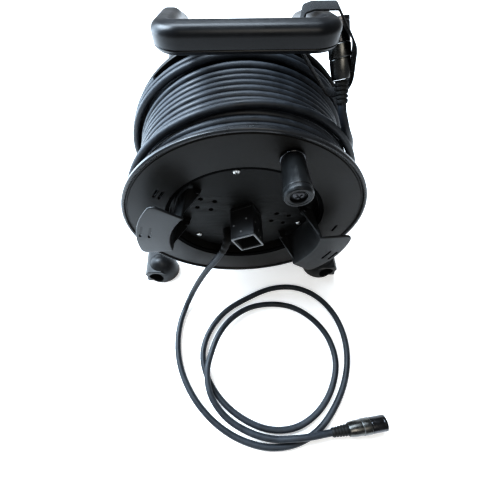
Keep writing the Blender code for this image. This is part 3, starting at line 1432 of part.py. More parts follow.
def build_strap(stand):
    """The hook-and-loop strap that holds the spare plug against the right arm of the handle."""
    inner = strap_loop(STRAP_CLEARANCE)
    outer = strap_loop(STRAP_CLEARANCE + STRAP_THICKNESS)
    for name, outline, depth in (("handle_strap", outer, STRAP_WIDTH), ("strap_hollow", inner, STRAP_WIDTH * 2)):
        band = prism(name, outline, depth)
        band.rotation_euler = (math.pi / 2, 0.0, 0.0)
        band.location.y = STRAP_SETBACK
        if name == "handle_strap":
            strap = place(band, stand, make_material("strap_fabric", (0.012, 0.012, 0.014), 0.85))
        else:
            cut(strap, place(band, stand, helper=True))


clear_scene()
REEL = make_collection("network_cable_reel")
CUTTERS = make_collection("cutters")


def main():
    stand = empty("stand", (0.0, FRONT_Y, 0.0))
    drum = empty("drum_axis", (0.0, 0.0, AXIS_HEIGHT), stand)
    build_front_flange(drum)
    build_rear_flange(drum)
    build_core(drum)
    build_tie_posts(drum)
    build_connector_plate(drum)
    build_coupler(drum)
    build_grommet(drum)
    build_knob(drum)
    build_hook(drum, "right", HOOK_ANGLE)
    build_hook(drum, "left", HOOK_ANGLE + math.pi)
    build_winding(drum)
    build_lead(drum)
    build_bushes(drum)
    for side, way in (("left", -1), ("right", 1)):
        build_stand_tube(stand, side, way)
        build_front_foot(stand, side, way)
        build_rear_foot(stand, side, way)
    build_cross_plate(stand)
    build_axle(stand)
    _, lower = build_handle(stand)
    build_handle_socket(stand, "left", -1)
    build_handle_socket(stand, "right", 1)
    build_handle_screws(stand, lower)
    build_tail(stand)
    build_strap(stand)
    bpy.context.view_layer.update()


main()
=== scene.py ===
"""Looks of the network cable reel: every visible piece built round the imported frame, with procedural finishes."""

import logging
import math
from dataclasses import dataclass, field
from enum import Enum
from functools import cache
from typing import Callable, Iterable, Optional, Sequence, Union

import bmesh
import bpy
import numpy as np
from mathutils import Matrix, Vector, noise
from mathutils.geometry import convex_hull_2d

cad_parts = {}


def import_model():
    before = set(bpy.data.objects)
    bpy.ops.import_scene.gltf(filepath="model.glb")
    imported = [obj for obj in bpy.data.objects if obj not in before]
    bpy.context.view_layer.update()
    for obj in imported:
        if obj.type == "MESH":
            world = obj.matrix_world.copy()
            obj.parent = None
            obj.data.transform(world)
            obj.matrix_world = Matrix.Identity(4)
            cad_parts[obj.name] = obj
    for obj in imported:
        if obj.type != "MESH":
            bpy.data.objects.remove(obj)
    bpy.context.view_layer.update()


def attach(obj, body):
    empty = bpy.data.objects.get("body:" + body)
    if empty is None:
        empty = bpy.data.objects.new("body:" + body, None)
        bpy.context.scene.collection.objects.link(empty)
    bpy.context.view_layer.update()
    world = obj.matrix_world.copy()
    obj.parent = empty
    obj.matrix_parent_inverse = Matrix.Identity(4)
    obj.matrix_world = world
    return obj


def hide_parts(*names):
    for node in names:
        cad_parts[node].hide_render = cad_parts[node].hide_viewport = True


logging.basicConfig(level=logging.INFO, format="%(message)s")
LOG = logging.getLogger("reel")

Point = tuple[float, float, float]
Flat = tuple[float, float]
Piece = bpy.types.Object
Node = bpy.types.Node
Socket = bpy.types.NodeSocket
Tree = bpy.types.NodeTree

FRONT_Y = -0.0746
AXIS_HEIGHT = 0.1885
GAP = 0.0003
CABLE_DIAMETER = 0.0092
CABLE_RADIUS = CABLE_DIAMETER / 2
CORD_SPACING = 0.004
FLANGE_RADIUS = 0.155
DRUM_WIDTH = 0.158
FLANGE_SLOTS = ((-11.0, 0.1296), (149.0, 0.1210), (149.0, 0.1145))
PIN_HOLE = 0.0023
SCREW_CIRCLE = 0.0835
SCREW_ANGLES = (math.radians(-19.0), math.radians(97.0), math.radians(219.0))
HOOK_ANGLE = math.radians(-17.5)
HOOK_HALF_WIDTH = 0.037
HOOK_WALL = 0.003
HINGE_RADIUS = 0.0715
HINGE_HEIGHT = 0.006
HINGE_EAR = 0.0045
SETBACK = 0.184
TUBE_RADIUS = 0.0125
CROSS_PLATE = 0.005
AXLE_HOLE = 0.0083
PLUG_RADIUS = 0.0112
CONTACT_PITCH = 0.00102
FIRST_CONTACT = -0.00357
MERGE_DISTANCE = 0.000004
ON_AXIS = 1e-9
BACKWARDS = Vector((0, 1, 0))
UPWARDS = Vector((0, 0, 1))
FACING_FRONT = Matrix.Rotation(math.pi / 2, 4, "X")
FACING_BACK = Matrix.Rotation(-math.pi / 2, 4, "X")


class Body(str, Enum):
    """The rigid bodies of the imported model."""

    STAND = "stand"
    DRUM = "drum"
    KNOB = "knob"
    HOOK_RIGHT = "hook_right"
    HOOK_LEFT = "hook_left"
    LATCH = "latch"


class Side(Enum):
    """The two sides of the reel, with the sign of X on each."""

    LEFT = -1
    RIGHT = 1

    @property
    def word(self) -> str:
        """Returns the side's name as the nodes spell it."""
        return self.name.lower()


def on_drum(radius: float, angle: float, depth: float = 0.0) -> Vector:
    """Returns the world point at a radius and angle about the drum's axis and a depth behind the flange face."""
    return Vector((radius * math.cos(angle), depth + FRONT_Y, radius * math.sin(angle) + AXIS_HEIGHT))


def on_stand(x: float, depth: float, height: float) -> Vector:
    """Returns the world point of a stand point given by depth behind the flange face and height over the floor."""
    return Vector((x, depth + FRONT_Y, height))


HUB = on_drum(0, 0)


def smooth_step(value: float) -> float:
    """Returns the value eased between nought and one."""
    value = min(1.0, max(0.0, value))
    return value * value * (3.0 - 2.0 * value)


def radial_frame(angle: float, origin: Vector) -> Matrix:
    """Returns a frame whose X points away from the drum's axis at an angle, and whose Y points back."""
    return Matrix.Translation(origin) @ Matrix.Rotation(-angle, 4, "Y")


def aimed(origin: Vector, axis: Vector) -> Matrix:
    """Returns a frame at a point whose Y runs along an axis."""
    return Matrix.Translation(origin) @ axis.to_track_quat("Y", "Z").to_matrix().to_4x4()


def circle(radius: float, steps: int = 20, x: float = 0.0, y: float = 0.0) -> list[Flat]:
    """Returns the outline of a circle about a point."""
    turns = np.linspace(0, 2 * math.pi, steps, endpoint=False)
    return [(x + radius * math.cos(turn), y + radius * math.sin(turn)) for turn in turns]


def link(name: str, data: object) -> Piece:
    """Puts a new object with the data into the scene.

    Args:
        name: Name of the object.
        data: Its mesh, curve, camera or light.

    Returns:
        The new object.
    """
    obj = bpy.data.objects.new(name, data)
    bpy.context.scene.collection.objects.link(obj)
    return obj


def shade(mesh: bpy.types.Mesh, sharp: float) -> None:
    """Shades a mesh smooth, but for the edges sharper than an angle in degrees."""
    mesh.shade_smooth()
    mesh.set_sharp_from_angle(angle=math.radians(sharp))


def evaluated(obj: Piece) -> bpy.types.Mesh:
    """Returns a new plain mesh of an object with its modifiers applied.

    Args:
        obj: The object, which stays as it is.
    """
    bpy.context.view_layer.update()
    graph = bpy.context.evaluated_depsgraph_get()
    return bpy.data.meshes.new_from_object(obj.evaluated_get(graph), depsgraph=graph)


def piece_of(name: str, bm: bmesh.types.BMesh, matrix: Optional[Matrix] = None, sharp: float = 38.0) -> Piece:
    """Turns a bmesh into a linked object with outward faces.

    Args:
        name: Name of the new object.
        bm: The bmesh, which is freed.
        matrix: Placement that goes into the vertices.
        sharp: Angle in degrees above which an edge shades sharp.

    Returns:
        The new object.
    """
    bmesh.ops.remove_doubles(bm, verts=bm.verts, dist=MERGE_DISTANCE)
    if matrix is not None:
        bmesh.ops.transform(bm, matrix=matrix, verts=bm.verts)
    bmesh.ops.recalc_face_normals(bm, faces=bm.faces)
    mesh = bpy.data.meshes.new(name)
    bm.to_mesh(mesh)
    bm.free()
    shade(mesh, sharp)
    return link(name, mesh)


def settle(obj: Piece, sharp: float = 38.0) -> Piece:
    """Bakes an object's modifiers and transform into its mesh.

    Args:
        obj: The object to settle.
        sharp: Angle in degrees above which an edge shades sharp.

    Returns:
        The same object at the origin, or a mesh object in place of a curve.
    """
    mesh = evaluated(obj)
    mesh.transform(obj.matrix_world)
    shade(mesh, sharp)
    if obj.type == "MESH":
        obj.modifiers.clear()
        obj.data = mesh
        obj.matrix_world = Matrix.Identity(4)
        return obj
    name = obj.name
    bpy.data.objects.remove(obj)
    return link(name, mesh)


def carve(obj: Piece, cutters: Iterable[Piece], operation: str = "DIFFERENCE") -> Piece:
    """Cuts or joins a mesh with others, which are then deleted.

    Args:
        obj: The mesh that stays.
        cutters: The meshes that act on it.
        operation: DIFFERENCE or UNION.

    Returns:
        The finished mesh object.
    """
    for cutter in cutters:
        modifier = obj.modifiers.new(cutter.name, "BOOLEAN")
        modifier.operation = operation
        modifier.solver = "EXACT"
        modifier.object = cutter
    obj = settle(obj)
    for cutter in cutters:
        bpy.data.objects.remove(cutter)
    return obj


def merge(name: str, objects: Sequence[Piece], sharp: float = 35.0) -> Piece:
    """Puts several mesh objects into one, keeping their materials.

    Args:
        name: Name of the result.
        objects: The mesh objects, which are deleted.
        sharp: Angle in degrees above which an edge shades sharp, or nought to keep their shading.

    Returns:
        The one object.
    """
    bm = bmesh.new()
    materials: list[bpy.types.Material] = []
    for obj in objects:
        start = len(bm.faces)
        bm.from_mesh(obj.data)
        bm.faces.ensure_lookup_table()
        materials += [material for material in obj.data.materials if material not in materials]
        table = [materials.index(material) for material in obj.data.materials]
        for face in bm.faces[start:]:
            if table:
                face.material_index = table[min(face.material_index, len(table) - 1)]
    mesh = bpy.data.meshes.new(name)
    bm.to_mesh(mesh)
    bm.free()
    for material in materials:
        mesh.materials.append(material)
    for obj in objects:
        bpy.data.objects.remove(obj)
    if sharp:
        shade(mesh, sharp)
    return link(name, mesh)


def rounded_profile(profile: Sequence[Flat], radius: float, steps: int = 3, closed: bool = True) -> list[Flat]:
    """Rounds the corners of a flat outline.

    Args:
        profile: The outline's corners.
        radius: Rounding radius, which is cut back where an edge is short.
        steps: Segments in each rounding.
        closed: Whether the outline joins up.

    Returns:
        The rounded outline.
    """
    result: list[Flat] = []
    count = len(profile)
    for index, (x, y) in enumerate(profile):
        corner = Vector((x, y))
        before = Vector(profile[index - 1]) - corner
        after = Vector(profile[(index + 1) % count]) - corner
        end_point = not closed and index in (0, count - 1)
        if end_point or min(before.length, after.length) < 1e-7 or before.angle(after) > math.radians(172):
            result.append((x, y))
            continue
        half = before.angle(after) / 2
        inset = min(radius / math.tan(half), before.length * 0.45, after.length * 0.45)
        start = corner + before.normalized() * inset
        end = corner + after.normalized() * inset
        for step in range(steps + 1):
            share = step / steps
            point = start.lerp(corner, share).lerp(corner.lerp(end, share), share)
            result.append((point.x, point.y))
    return result


def turned(
    name: str, profile: Sequence[Flat], place: Union[Vector, Matrix], steps: int = 96, rounding: float = 0.0
) -> Piece:
    """Turns a profile about the Y axis.

    Args:
        name: Name of the piece.
        profile: (radius, depth) pairs round the section. A profile that meets the axis starts and ends there.
        place: World place of the axis at depth nought, or a frame whose Y is the axis.
        steps: Sides round the turn.
        rounding: Radius that the profile's corners get.

    Returns:
        The closed mesh object.
    """
    open_ended = profile[0][0] <= ON_AXIS and profile[-1][0] <= ON_AXIS
    outline = rounded_profile(profile, rounding, 3, not open_ended) if rounding else profile
    bm = bmesh.new()
    turns = [2 * math.pi * step / steps for step in range(steps)]
    rings = []
    for radius, depth in outline:
        if radius <= ON_AXIS:
            rings.append([bm.verts.new((0.0, depth, 0.0))])
        else:
            rings.append([bm.verts.new((radius * math.cos(a), depth, radius * math.sin(a))) for a in turns])
    pairs = list(zip(rings, rings[1:]))
    if not open_ended:
        pairs.append((rings[-1], rings[0]))
    for first, second in pairs:
        for step in range(steps):
            following = (step + 1) % steps
            corners = [first[step % len(first)], first[following % len(first)]]
            corners += [second[following % len(second)], second[step % len(second)]]
            unique = list(dict.fromkeys(corners))
            if len(unique) > 2:
                bm.faces.new(unique)
    return piece_of(name, bm, place if isinstance(place, Matrix) else Matrix.Translation(place))


def plate_piece(
    name: str,
    outline: Sequence[Flat],
    thickness: float,
    matrix: Matrix,
    holes: Sequence[Sequence[Flat]] = (),
    edge: float = 0.0004,
    segments: int = 2,
) -> Piece:
    """A flat outline with holes, given a thickness along Z and rounded edges.

    Args:
        name: Name of the piece.
        outline: The outline's points in XY.
        thickness: Full thickness, centred on Z nought.
        matrix: Placement that goes into the mesh.
        holes: Outlines of the holes.
        edge: Rounding of every edge.
        segments: Faces across each rounding.

    Returns:
        The closed mesh object.
    """
    curve = bpy.data.curves.new(name, "CURVE")
    curve.dimensions = "2D"
    curve.fill_mode = "BOTH"
    curve.extrude = thickness / 2 - edge
    curve.bevel_depth = edge
    curve.bevel_resolution = segments
    curve.offset = -edge
    for ring in (outline, *holes):
        spline = curve.splines.new("POLY")
        spline.points.add(len(ring) - 1)
        for point, (x, y) in zip(spline.points, ring):
            point.co = (x, y, 0.0, 1.0)
        spline.use_cyclic_u = True
    obj = settle(link(name, curve))
    bm = bmesh.new()
    bm.from_mesh(obj.data)
    bpy.data.objects.remove(obj)
    return piece_of(name, bm, matrix, 30.0)


def slot_cutter(centre: Flat, length: float, width: float, depth: float, matrix: Matrix) -> Piece:
    """A cutter for a slot with round ends.

    Args:
        centre: Middle of the slot in XY of the frame.
        length: Full length, along Y.
        width: Full width.
        depth: Thickness of the cutter along Z.
        matrix: The frame.

    Returns:
        The mesh object.
    """
    steps = 8
    radius = width / 2
    outline = []
    for turn, end in ((0.0, 1), (math.pi, -1)):
        for step in range(steps + 1):
            angle = math.pi * step / steps + turn
            y = radius * math.sin(angle) + end * (length / 2 - radius)
            outline.append((centre[0] + radius * math.cos(angle), centre[1] + y))
    return plate_piece("slot", outline, depth, matrix, edge=0.00001, segments=0)


def box_piece(
    name: str, low: Sequence[float], high: Sequence[float], matrix: Optional[Matrix] = None, edge: float = 0.0
) -> Piece:
    """A box between two corners of a frame, with rounded edges where asked.

    Args:
        name: Name of the piece.
        low: Lowest corner.
        high: Highest corner.
        matrix: Frame of the corners.
        edge: Width of the edge rounding.

    Returns:
        The mesh object.
    """
    bm = bmesh.new()
    bmesh.ops.create_cube(bm, size=1.0)
    bmesh.ops.scale(bm, vec=Vector(high) - Vector(low), verts=bm.verts)
    bmesh.ops.translate(bm, vec=(Vector(high) + Vector(low)) / 2, verts=bm.verts)
    if edge:
        bmesh.ops.bevel(bm, geom=bm.edges[:], offset=edge, segments=3, profile=0.5, affect="EDGES")
    return piece_of(name, bm, matrix)


def rod_piece(name: str, radius: float, start: Vector, end: Vector, steps: int) -> Piece:
    """A plain round bar, used to drill holes.

    Args:
        name: Name of the bar.
        radius: Its radius.
        start: One end.
        end: The other end.
        steps: Sides round it.

    Returns:
        The mesh object.
    """
    bm = bmesh.new()
    axis = end - start
    bmesh.ops.create_cone(bm, cap_ends=True, segments=steps, radius1=radius, radius2=radius, depth=axis.length)
    turn = axis.to_track_quat("Z", "Y").to_matrix().to_4x4()
    return piece_of(name, bm, Matrix.Translation((start + end) / 2) @ turn)


def join_rings(bm: bmesh.types.BMesh, rings: Sequence[Sequence[bmesh.types.BMVert]], closed: bool) -> None:
    """Joins equal rings of points with faces, and fills the ends of an open row.

    Args:
        bm: The bmesh that holds the points.
        rings: The rings in order.
        closed: Whether the last ring joins the first.
    """
    sides = len(rings[0])
    for index in range(len(rings) if closed else len(rings) - 1):
        first, second = rings[index], rings[(index + 1) % len(rings)]
        for side in range(sides):
            following = (side + 1) % sides
            bm.faces.new((first[side], first[following], second[following], second[side]))
    if not closed:
        bm.faces.new(list(reversed(rings[0])))
        bm.faces.new(rings[-1])


def swept(
    name: str,
    path: Sequence[Vector],
    section: Callable[[float], Sequence[Flat]],
    closed: bool = False,
    level_with: Vector = UPWARDS,
) -> Piece:
    """Carries a section along a path, keeping its x level.

    Args:
        name: Name of the piece.
        path: Points of the path.
        section: Gives the section's outline at a share of the path.
        closed: Whether the path joins up.
        level_with: The direction that the section's y leans to.

    Returns:
        The closed mesh object.
    """
    bm = bmesh.new()
    rings = []
    count = len(path)
    for index, point in enumerate(path):
        before = path[index - 1] if closed or index else path[0]
        after = path[(index + 1) % count] if closed or index < count - 1 else path[-1]
        along = (after - before).normalized()
        level = along.cross(level_with).normalized()
        upright = level.cross(along)
        outline = section(index / max(1, count - 1))
        rings.append([bm.verts.new(point + level * x + upright * y) for x, y in outline])
    join_rings(bm, rings, closed)
    return piece_of(name, bm)


def rounded_rectangle(half_width: float, half_height: float, edge: float, steps: int = 5) -> list[Flat]:
    """Returns a rounded rectangle's outline, counter-clockwise.

    Args:
        half_width: Half its width.
        half_height: Half its height.
        edge: Radius of its corners.
        steps: Segments in each corner.
    """
    outline = []
    for quarter, (sx, sy) in enumerate(((1, 1), (-1, 1), (-1, -1), (1, -1))):
        for step in range(steps + 1):
            angle = math.pi / 2 * (quarter + step / steps)
            x = sx * (half_width - edge) + edge * math.cos(angle)
            y = sy * (half_height - edge) + edge * math.sin(angle)
            outline.append((x, y))
    return outline


def bent_path(corners: Sequence[Vector], radius: float, steps: int) -> list[Vector]:
    """Returns an open path with round bends at its inner corners.

    Args:
        corners: The path's corners.
        radius: Bend radius.
        steps: Segments in each bend.
    """
    points = [Vector(corners[0])]
    for before, corner, after in zip(corners, corners[1:], corners[2:]):
        back = (before - corner).normalized()
        ahead = (after - corner).normalized()
        half = math.acos(max(-1.0, min(1.0, back.dot(ahead)))) / 2
        inset = radius / math.tan(half)
        centre = corner + (back + ahead).normalized() * (radius / math.sin(half))
        start = corner + back * inset - centre
        end = corner + ahead * inset - centre
        sweep = start.angle(end)
        for step in range(steps + 1):
            share = step / steps
            near = math.sin((1 - share) * sweep) / math.sin(sweep)
            far = math.sin(share * sweep) / math.sin(sweep)
            points.append(centre + start * near + end * far)
    points.append(Vector(corners[-1]))
    return points


def smooth_curve(route: Sequence[Point], spacing: float) -> list[Vector]:
    """Returns points at even spacing on a smooth curve through the route's points.

    Args:
        route: The points that the curve passes through.
        spacing: Wanted distance between the returned points.
    """
    knots = np.array([tuple(point) for point in route], dtype=float)
    ends = np.vstack([2 * knots[0] - knots[1], knots, 2 * knots[-1] - knots[-2]])
    dense = []
    for before, first, second, after in zip(ends, ends[1:], ends[2:], ends[3:]):
        stops = (before, first, second, after)
        spans = [max(math.dist(a, b), 1e-6) ** 0.5 for a, b in zip(stops, stops[1:])]
        times = np.concatenate([[0.0], np.cumsum(spans)])
        slope_in = (second - before) / (times[2] - times[0])
        slope_out = (after - first) / (times[3] - times[1])
        length = times[2] - times[1]
        for u in np.linspace(0.0, 1.0, 12, endpoint=False):
            h0 = (1 + 2 * u) * (1 - u) ** 2
            h1 = u * (1 - u) ** 2
            h2 = u * u * (3 - 2 * u)
            h3 = u * u * (u - 1)
            dense.append(h0 * first + h1 * length * slope_in + h2 * second + h3 * length * slope_out)
    dense.append(knots[-1])
    points = np.array(dense)
    along = np.concatenate([[0.0], np.cumsum(np.linalg.norm(np.diff(points, axis=0), axis=1))])
    marks = np.linspace(0.0, along[-1], max(2, round(along[-1] / spacing) + 1))
    return [Vector(row) for row in zip(*(np.interp(marks, along, points[:, axis]) for axis in range(3)))]


class Shaders:
    """Shared shader node groups, each built once, and the short way to add nodes."""

    @staticmethod
    def feed(node: Node, inputs: dict) -> None:
        """Links each input that is given a socket, and sets each that is given a value.

        Args:
            node: The node.
            inputs: What each named or numbered input gets.
        """
        for key, value in inputs.items():
            if isinstance(value, Socket):
                node.id_data.links.new(value, node.inputs[key])
            else:
                node.inputs[key].default_value = value

    @staticmethod
    def adder(tree: Tree) -> Callable:
        """Returns a function that adds a node to the tree: keywords set its properties, and inputs its sockets.

        Args:
            tree: The node tree.
        """

        def add(kind: str, inputs: Optional[dict] = None, **properties: object) -> Node:
            """Adds one node with its properties and inputs.

            Args:
                kind: The node's type.
                inputs: What each input gets.
                properties: Value of each property.

            Returns:
                The new node.
            """
            node = tree.nodes.new(kind)
            for key, value in properties.items():
                setattr(node, key, value)
            Shaders.feed(node, inputs or {})
            return node

        return add

    @classmethod
    def group(
        cls, name: str, inputs: dict[str, float], outputs: Sequence[str]
    ) -> tuple[Tree, Callable, bpy.types.NodeOutputs, Socket]:
        """Starts a shader group of number sockets.

        Args:
            name: The group's name.
            inputs: Name and default of each input.
            outputs: Name of each output.

        Returns:
            The tree, a function that adds a node to it, its inputs' sockets and the object coordinates.
        """
        tree = bpy.data.node_groups.new(name, "ShaderNodeTree")
        for label, default in inputs.items():
            tree.interface.new_socket(label, in_out="INPUT", socket_type="NodeSocketFloat").default_value = default
        for label in outputs:
            tree.interface.new_socket(label, in_out="OUTPUT", socket_type="NodeSocketFloat")
        add = cls.adder(tree)
        return tree, add, add("NodeGroupInput").outputs, add("ShaderNodeTexCoord").outputs["Object"]

    @classmethod
    @cache
    def moulded_grain(cls) -> Tree:
        """The fine cast texture of moulded plastic and rubber: height, tone and roughness variation.

        Returns:
            The node group, built on first use.
        """
        tree, add, given, place = cls.group("Moulded grain", {"Scale": 900.0, "Clouding": 22.0}, ("Height", "Cloud"))
        fine = add("ShaderNodeTexNoise", {"Vector": place, "Scale": given["Scale"], "Detail": 2.0})
        pits = add("ShaderNodeTexVoronoi", {"Vector": place, "Scale": given["Scale"]})
        height = add("ShaderNodeMath", {0: fine.outputs["Fac"], 1: pits.outputs["Distance"]}, operation="ADD")
        clouding = {"Vector": place, "Scale": given["Clouding"], "Detail": 5.0, "Roughness": 0.62}
        cloud = add("ShaderNodeTexNoise", clouding)
        add("NodeGroupOutput", {"Height": height.outputs[0], "Cloud": cloud.outputs["Fac"]})
        return tree

    @classmethod
    @cache
    def handling_marks(cls) -> Tree:
        """Dust that settles on upward faces and fine scratches from handling, as masks.

        Returns:
            The node group, built on first use.
        """
        inputs = {"Dust": 0.3, "Scratches": 0.3, "Scale": 60.0}
        tree, add, given, place = cls.group("Handling marks", inputs, ("Dust mask", "Scratch mask"))
        parts = add("ShaderNodeSeparateXYZ", {0: add("ShaderNodeNewGeometry").outputs["Normal"]})
        upward = add("ShaderNodeMapRange", {0: parts.outputs["Z"], 1: 0.1, 2: 1.0, 3: 0.25, 4: 1.0})
        patches = add("ShaderNodeTexNoise", {"Vector": place, "Scale": given["Scale"], "Detail": 8.0, "Roughness": 0.7})
        spread = add("ShaderNodeMapRange", {0: patches.outputs["Fac"], 1: 0.42, 2: 0.75, 3: 0.0, 4: 1.0})
        lean = add("ShaderNodeMapping", {"Vector": place, "Rotation": (0.5, 0.9, 0.3), "Scale": (9.0, 260.0, 260.0)})
        streaks = add("ShaderNodeTexNoise", {"Vector": lean.outputs[0], "Scale": 1.0, "Detail": 3.0, "Roughness": 0.4})
        lines = add("ShaderNodeMapRange", {0: streaks.outputs["Fac"], 1: 0.66, 2: 0.72, 3: 0.0, 4: 1.0})
        masks = {}
        for label, where, amount in (("Dust mask", upward, "Dust"), ("Scratch mask", lines, "Scratches")):
            gate = add("ShaderNodeMath", {0: where.outputs[0], 1: spread.outputs[0]}, operation="MULTIPLY")
            shares = {0: gate.outputs[0], 1: given[amount]}
            masks[label] = add("ShaderNodeMath", shares, operation="MULTIPLY", use_clamp=True).outputs[0]
        add("NodeGroupOutput", masks)
        return tree

    @classmethod
    @cache
    def strap_weave(cls) -> Tree:
        """The cross weave of webbing.

        Returns:
            The node group, built on first use.
        """
        tree, add, given, place = cls.group("Strap weave", {"Threads": 1500.0}, ("Height", "Thread"))
        lean = add("ShaderNodeMapping", {"Vector": place, "Rotation": (0.0, 0.78, 0.0)})
        warp = add("ShaderNodeTexWave", {"Vector": lean.outputs[0], "Scale": given["Threads"]}, bands_direction="X")
        weft = add("ShaderNodeTexWave", {"Vector": place, "Scale": given["Threads"]}, bands_direction="Y")
        both = add("ShaderNodeMath", {0: warp.outputs["Fac"], 1: weft.outputs["Fac"]}, operation="MULTIPLY")
        fuzz = add("ShaderNodeTexNoise", {"Vector": place, "Scale": 1600.0, "Detail": 3.0})
        total = add("ShaderNodeMath", {0: both.outputs[0], 1: fuzz.outputs["Fac"]}, operation="ADD")
        add("NodeGroupOutput", {"Height": total.outputs[0], "Thread": both.outputs[0]})
        return tree


Color = tuple[float, float, float]


def tinted(color: Color, factor: float = 1.0, lift: float = 0.0) -> tuple[float, ...]:
    """Returns a colour scaled and lifted, as four channels."""
    return tuple(min(1.0, channel * factor + lift) for channel in color) + (1.0,)


@dataclass(frozen=True)
class Finish:
    """A named finish, whose material each kind lays out in its own way."""

    name: str
    color: Color

    def material(self) -> bpy.types.Material:
        """Returns the finish's material, built on first use."""
        material = bpy.data.materials.get(self.name)
        if not material:
            material = bpy.data.materials.new(self.name)
            material.use_nodes = True
            self.lay(Shaders.adder(material.node_tree), material.node_tree.nodes["Principled BSDF"])
        return material

    def lay(self, add: Callable, shader: Node) -> None:
        """Feeds the shader. Each kind of finish has its own."""
        raise NotImplementedError

    @staticmethod
    def mix(add: Callable, share: Socket, first: object, second: object) -> Socket:
        """Returns a mix of two colours by a share."""
        return add("ShaderNodeMix", {0: share, 6: first, 7: second}, data_type="RGBA").outputs[2]

    @staticmethod
    def clouded(add: Callable, grain: Node, low: float, high: float) -> Socket:
        """Returns a number that follows the grain's clouds from low to high."""
        return add("ShaderNodeMapRange", {0: grain.outputs["Cloud"], 1: 0.3, 2: 0.7, 3: low, 4: high}).outputs[0]

    @staticmethod
    def bump(add: Callable, height: Socket, depth: float, strength: float) -> Socket:
        """Returns the normal of a bumped surface."""
        return add("ShaderNodeBump", {"Height": height, "Distance": depth, "Strength": strength}).outputs[0]

    @staticmethod
    def worn(add: Callable, scale: float, clouding: float, dust: float, scratches: float) -> tuple[Node, ...]:
        """Adds the grain and the handling marks.

        Args:
            add: The node adder.
            scale: Scale of the grain.
            clouding: Scale of the clouds.
            dust: Amount of dust.
            scratches: Amount of scratches.

        Returns:
            The grain's node and the marks' node.
        """
        grain = add("ShaderNodeGroup", node_tree=Shaders.moulded_grain())
        Shaders.feed(grain, {"Scale": scale, "Clouding": clouding})
        marks = add("ShaderNodeGroup", node_tree=Shaders.handling_marks())
        Shaders.feed(marks, {"Dust": dust, "Scratches": scratches})
        return grain, marks


@dataclass(frozen=True)
class Moulding(Finish):
    """A moulded black plastic or rubber, or a powder-coated metal: grain, clouding, dust and scratches."""

    roughness: float = 0.42
    grain_scale: float = 1100.0
    grain_depth: float = 0.00003
    cloud_scale: float = 22.0
    dust: float = 0.25
    dusty: Color = (0.045, 0.045, 0.046)
    scratches: float = 0.2
    specular: float = 0.35
    roughness_spread: float = 0.12

    def lay(self, add: Callable, shader: Node) -> None:
        """Feeds the shader with the grained, dusty and scratched surface.

        Args:
            add: The material's node adder.
            shader: Its shader node.
        """
        grain, marks = self.worn(add, self.grain_scale, self.cloud_scale, self.dust, self.scratches)
        dust = marks.outputs["Dust mask"]
        base = self.mix(add, self.clouded(add, grain, 0.0, 1.0), tinted(self.color, 0.72), tinted(self.color, 1.35))
        dusted = self.mix(add, dust, base, tinted(self.dusty))
        scratched = self.mix(add, marks.outputs["Scratch mask"], dusted, tinted(self.color, 3.0, 0.02))
        low = self.roughness - self.roughness_spread / 2
        rough = {0: dust, 1: 0.35, 2: self.clouded(add, grain, low, low + self.roughness_spread)}
        rougher = add("ShaderNodeMath", rough, operation="MULTIPLY_ADD", use_clamp=True)
        normal = self.bump(add, grain.outputs["Height"], self.grain_depth, 0.6)
        inputs = {"Base Color": scratched, "Roughness": rougher.outputs[0], "Normal": normal}
        Shaders.feed(shader, inputs | {"Specular IOR Level": self.specular, "Coat Roughness": 0.15})


@dataclass(frozen=True)
class PlatedMetal(Finish):
    """A plated or bare metal with fine turning lines and cloudy roughness."""

    roughness: float = 0.28
    line_depth: float = 0.00001

    def lay(self, add: Callable, shader: Node) -> None:
        """Feeds the shader with the metal and its dust.

        Args:
            add: The material's node adder.
            shader: Its shader node.
        """
        grain, marks = self.worn(add, 900.0, 120.0, 0.15, 0.5)
        base = self.mix(add, self.clouded(add, grain, 0.0, 1.0), tinted(self.color, 0.8), tinted(self.color))
        dull = self.mix(add, marks.outputs["Dust mask"], base, (0.12, 0.12, 0.12, 1.0))
        rough = self.clouded(add, grain, self.roughness * 0.7, self.roughness * 1.35)
        normal = self.bump(add, grain.outputs["Height"], self.line_depth, 0.4)
        Shaders.feed(shader, {"Base Color": dull, "Roughness": rough, "Normal": normal, "Metallic": 1.0})


@dataclass(frozen=True)
class Webbing(Finish):
    """Woven hook-and-loop webbing."""

    def lay(self, add: Callable, shader: Node) -> None:
        """Feeds the shader with the weave.

        Args:
            add: The material's node adder.
            shader: Its shader node.
        """
        weave = add("ShaderNodeGroup", node_tree=Shaders.strap_weave())
        base = self.mix(add, weave.outputs["Thread"], tinted(self.color), tinted(self.color, 1.8))
        normal = self.bump(add, weave.outputs["Height"], 0.0002, 0.8)
        Shaders.feed(shader, {"Base Color": base, "Normal": normal, "Roughness": 0.85, "Sheen Weight": 0.04})


FLANGE_PLASTIC = Moulding("flange plastic", (0.013, 0.012, 0.011), 0.42, 1300.0, 0.00002, specular=0.25)
# The rim plastic is glossier than the flange, and its lighter bluish colour is a painted highlight for the sky's
# reflection along the rim's edge.
RIM_PAINTED_HIGHLIGHT = Moulding("flange rim", (0.020, 0.021, 0.023), 0.27, 1300.0, 0.00001, specular=0.55)
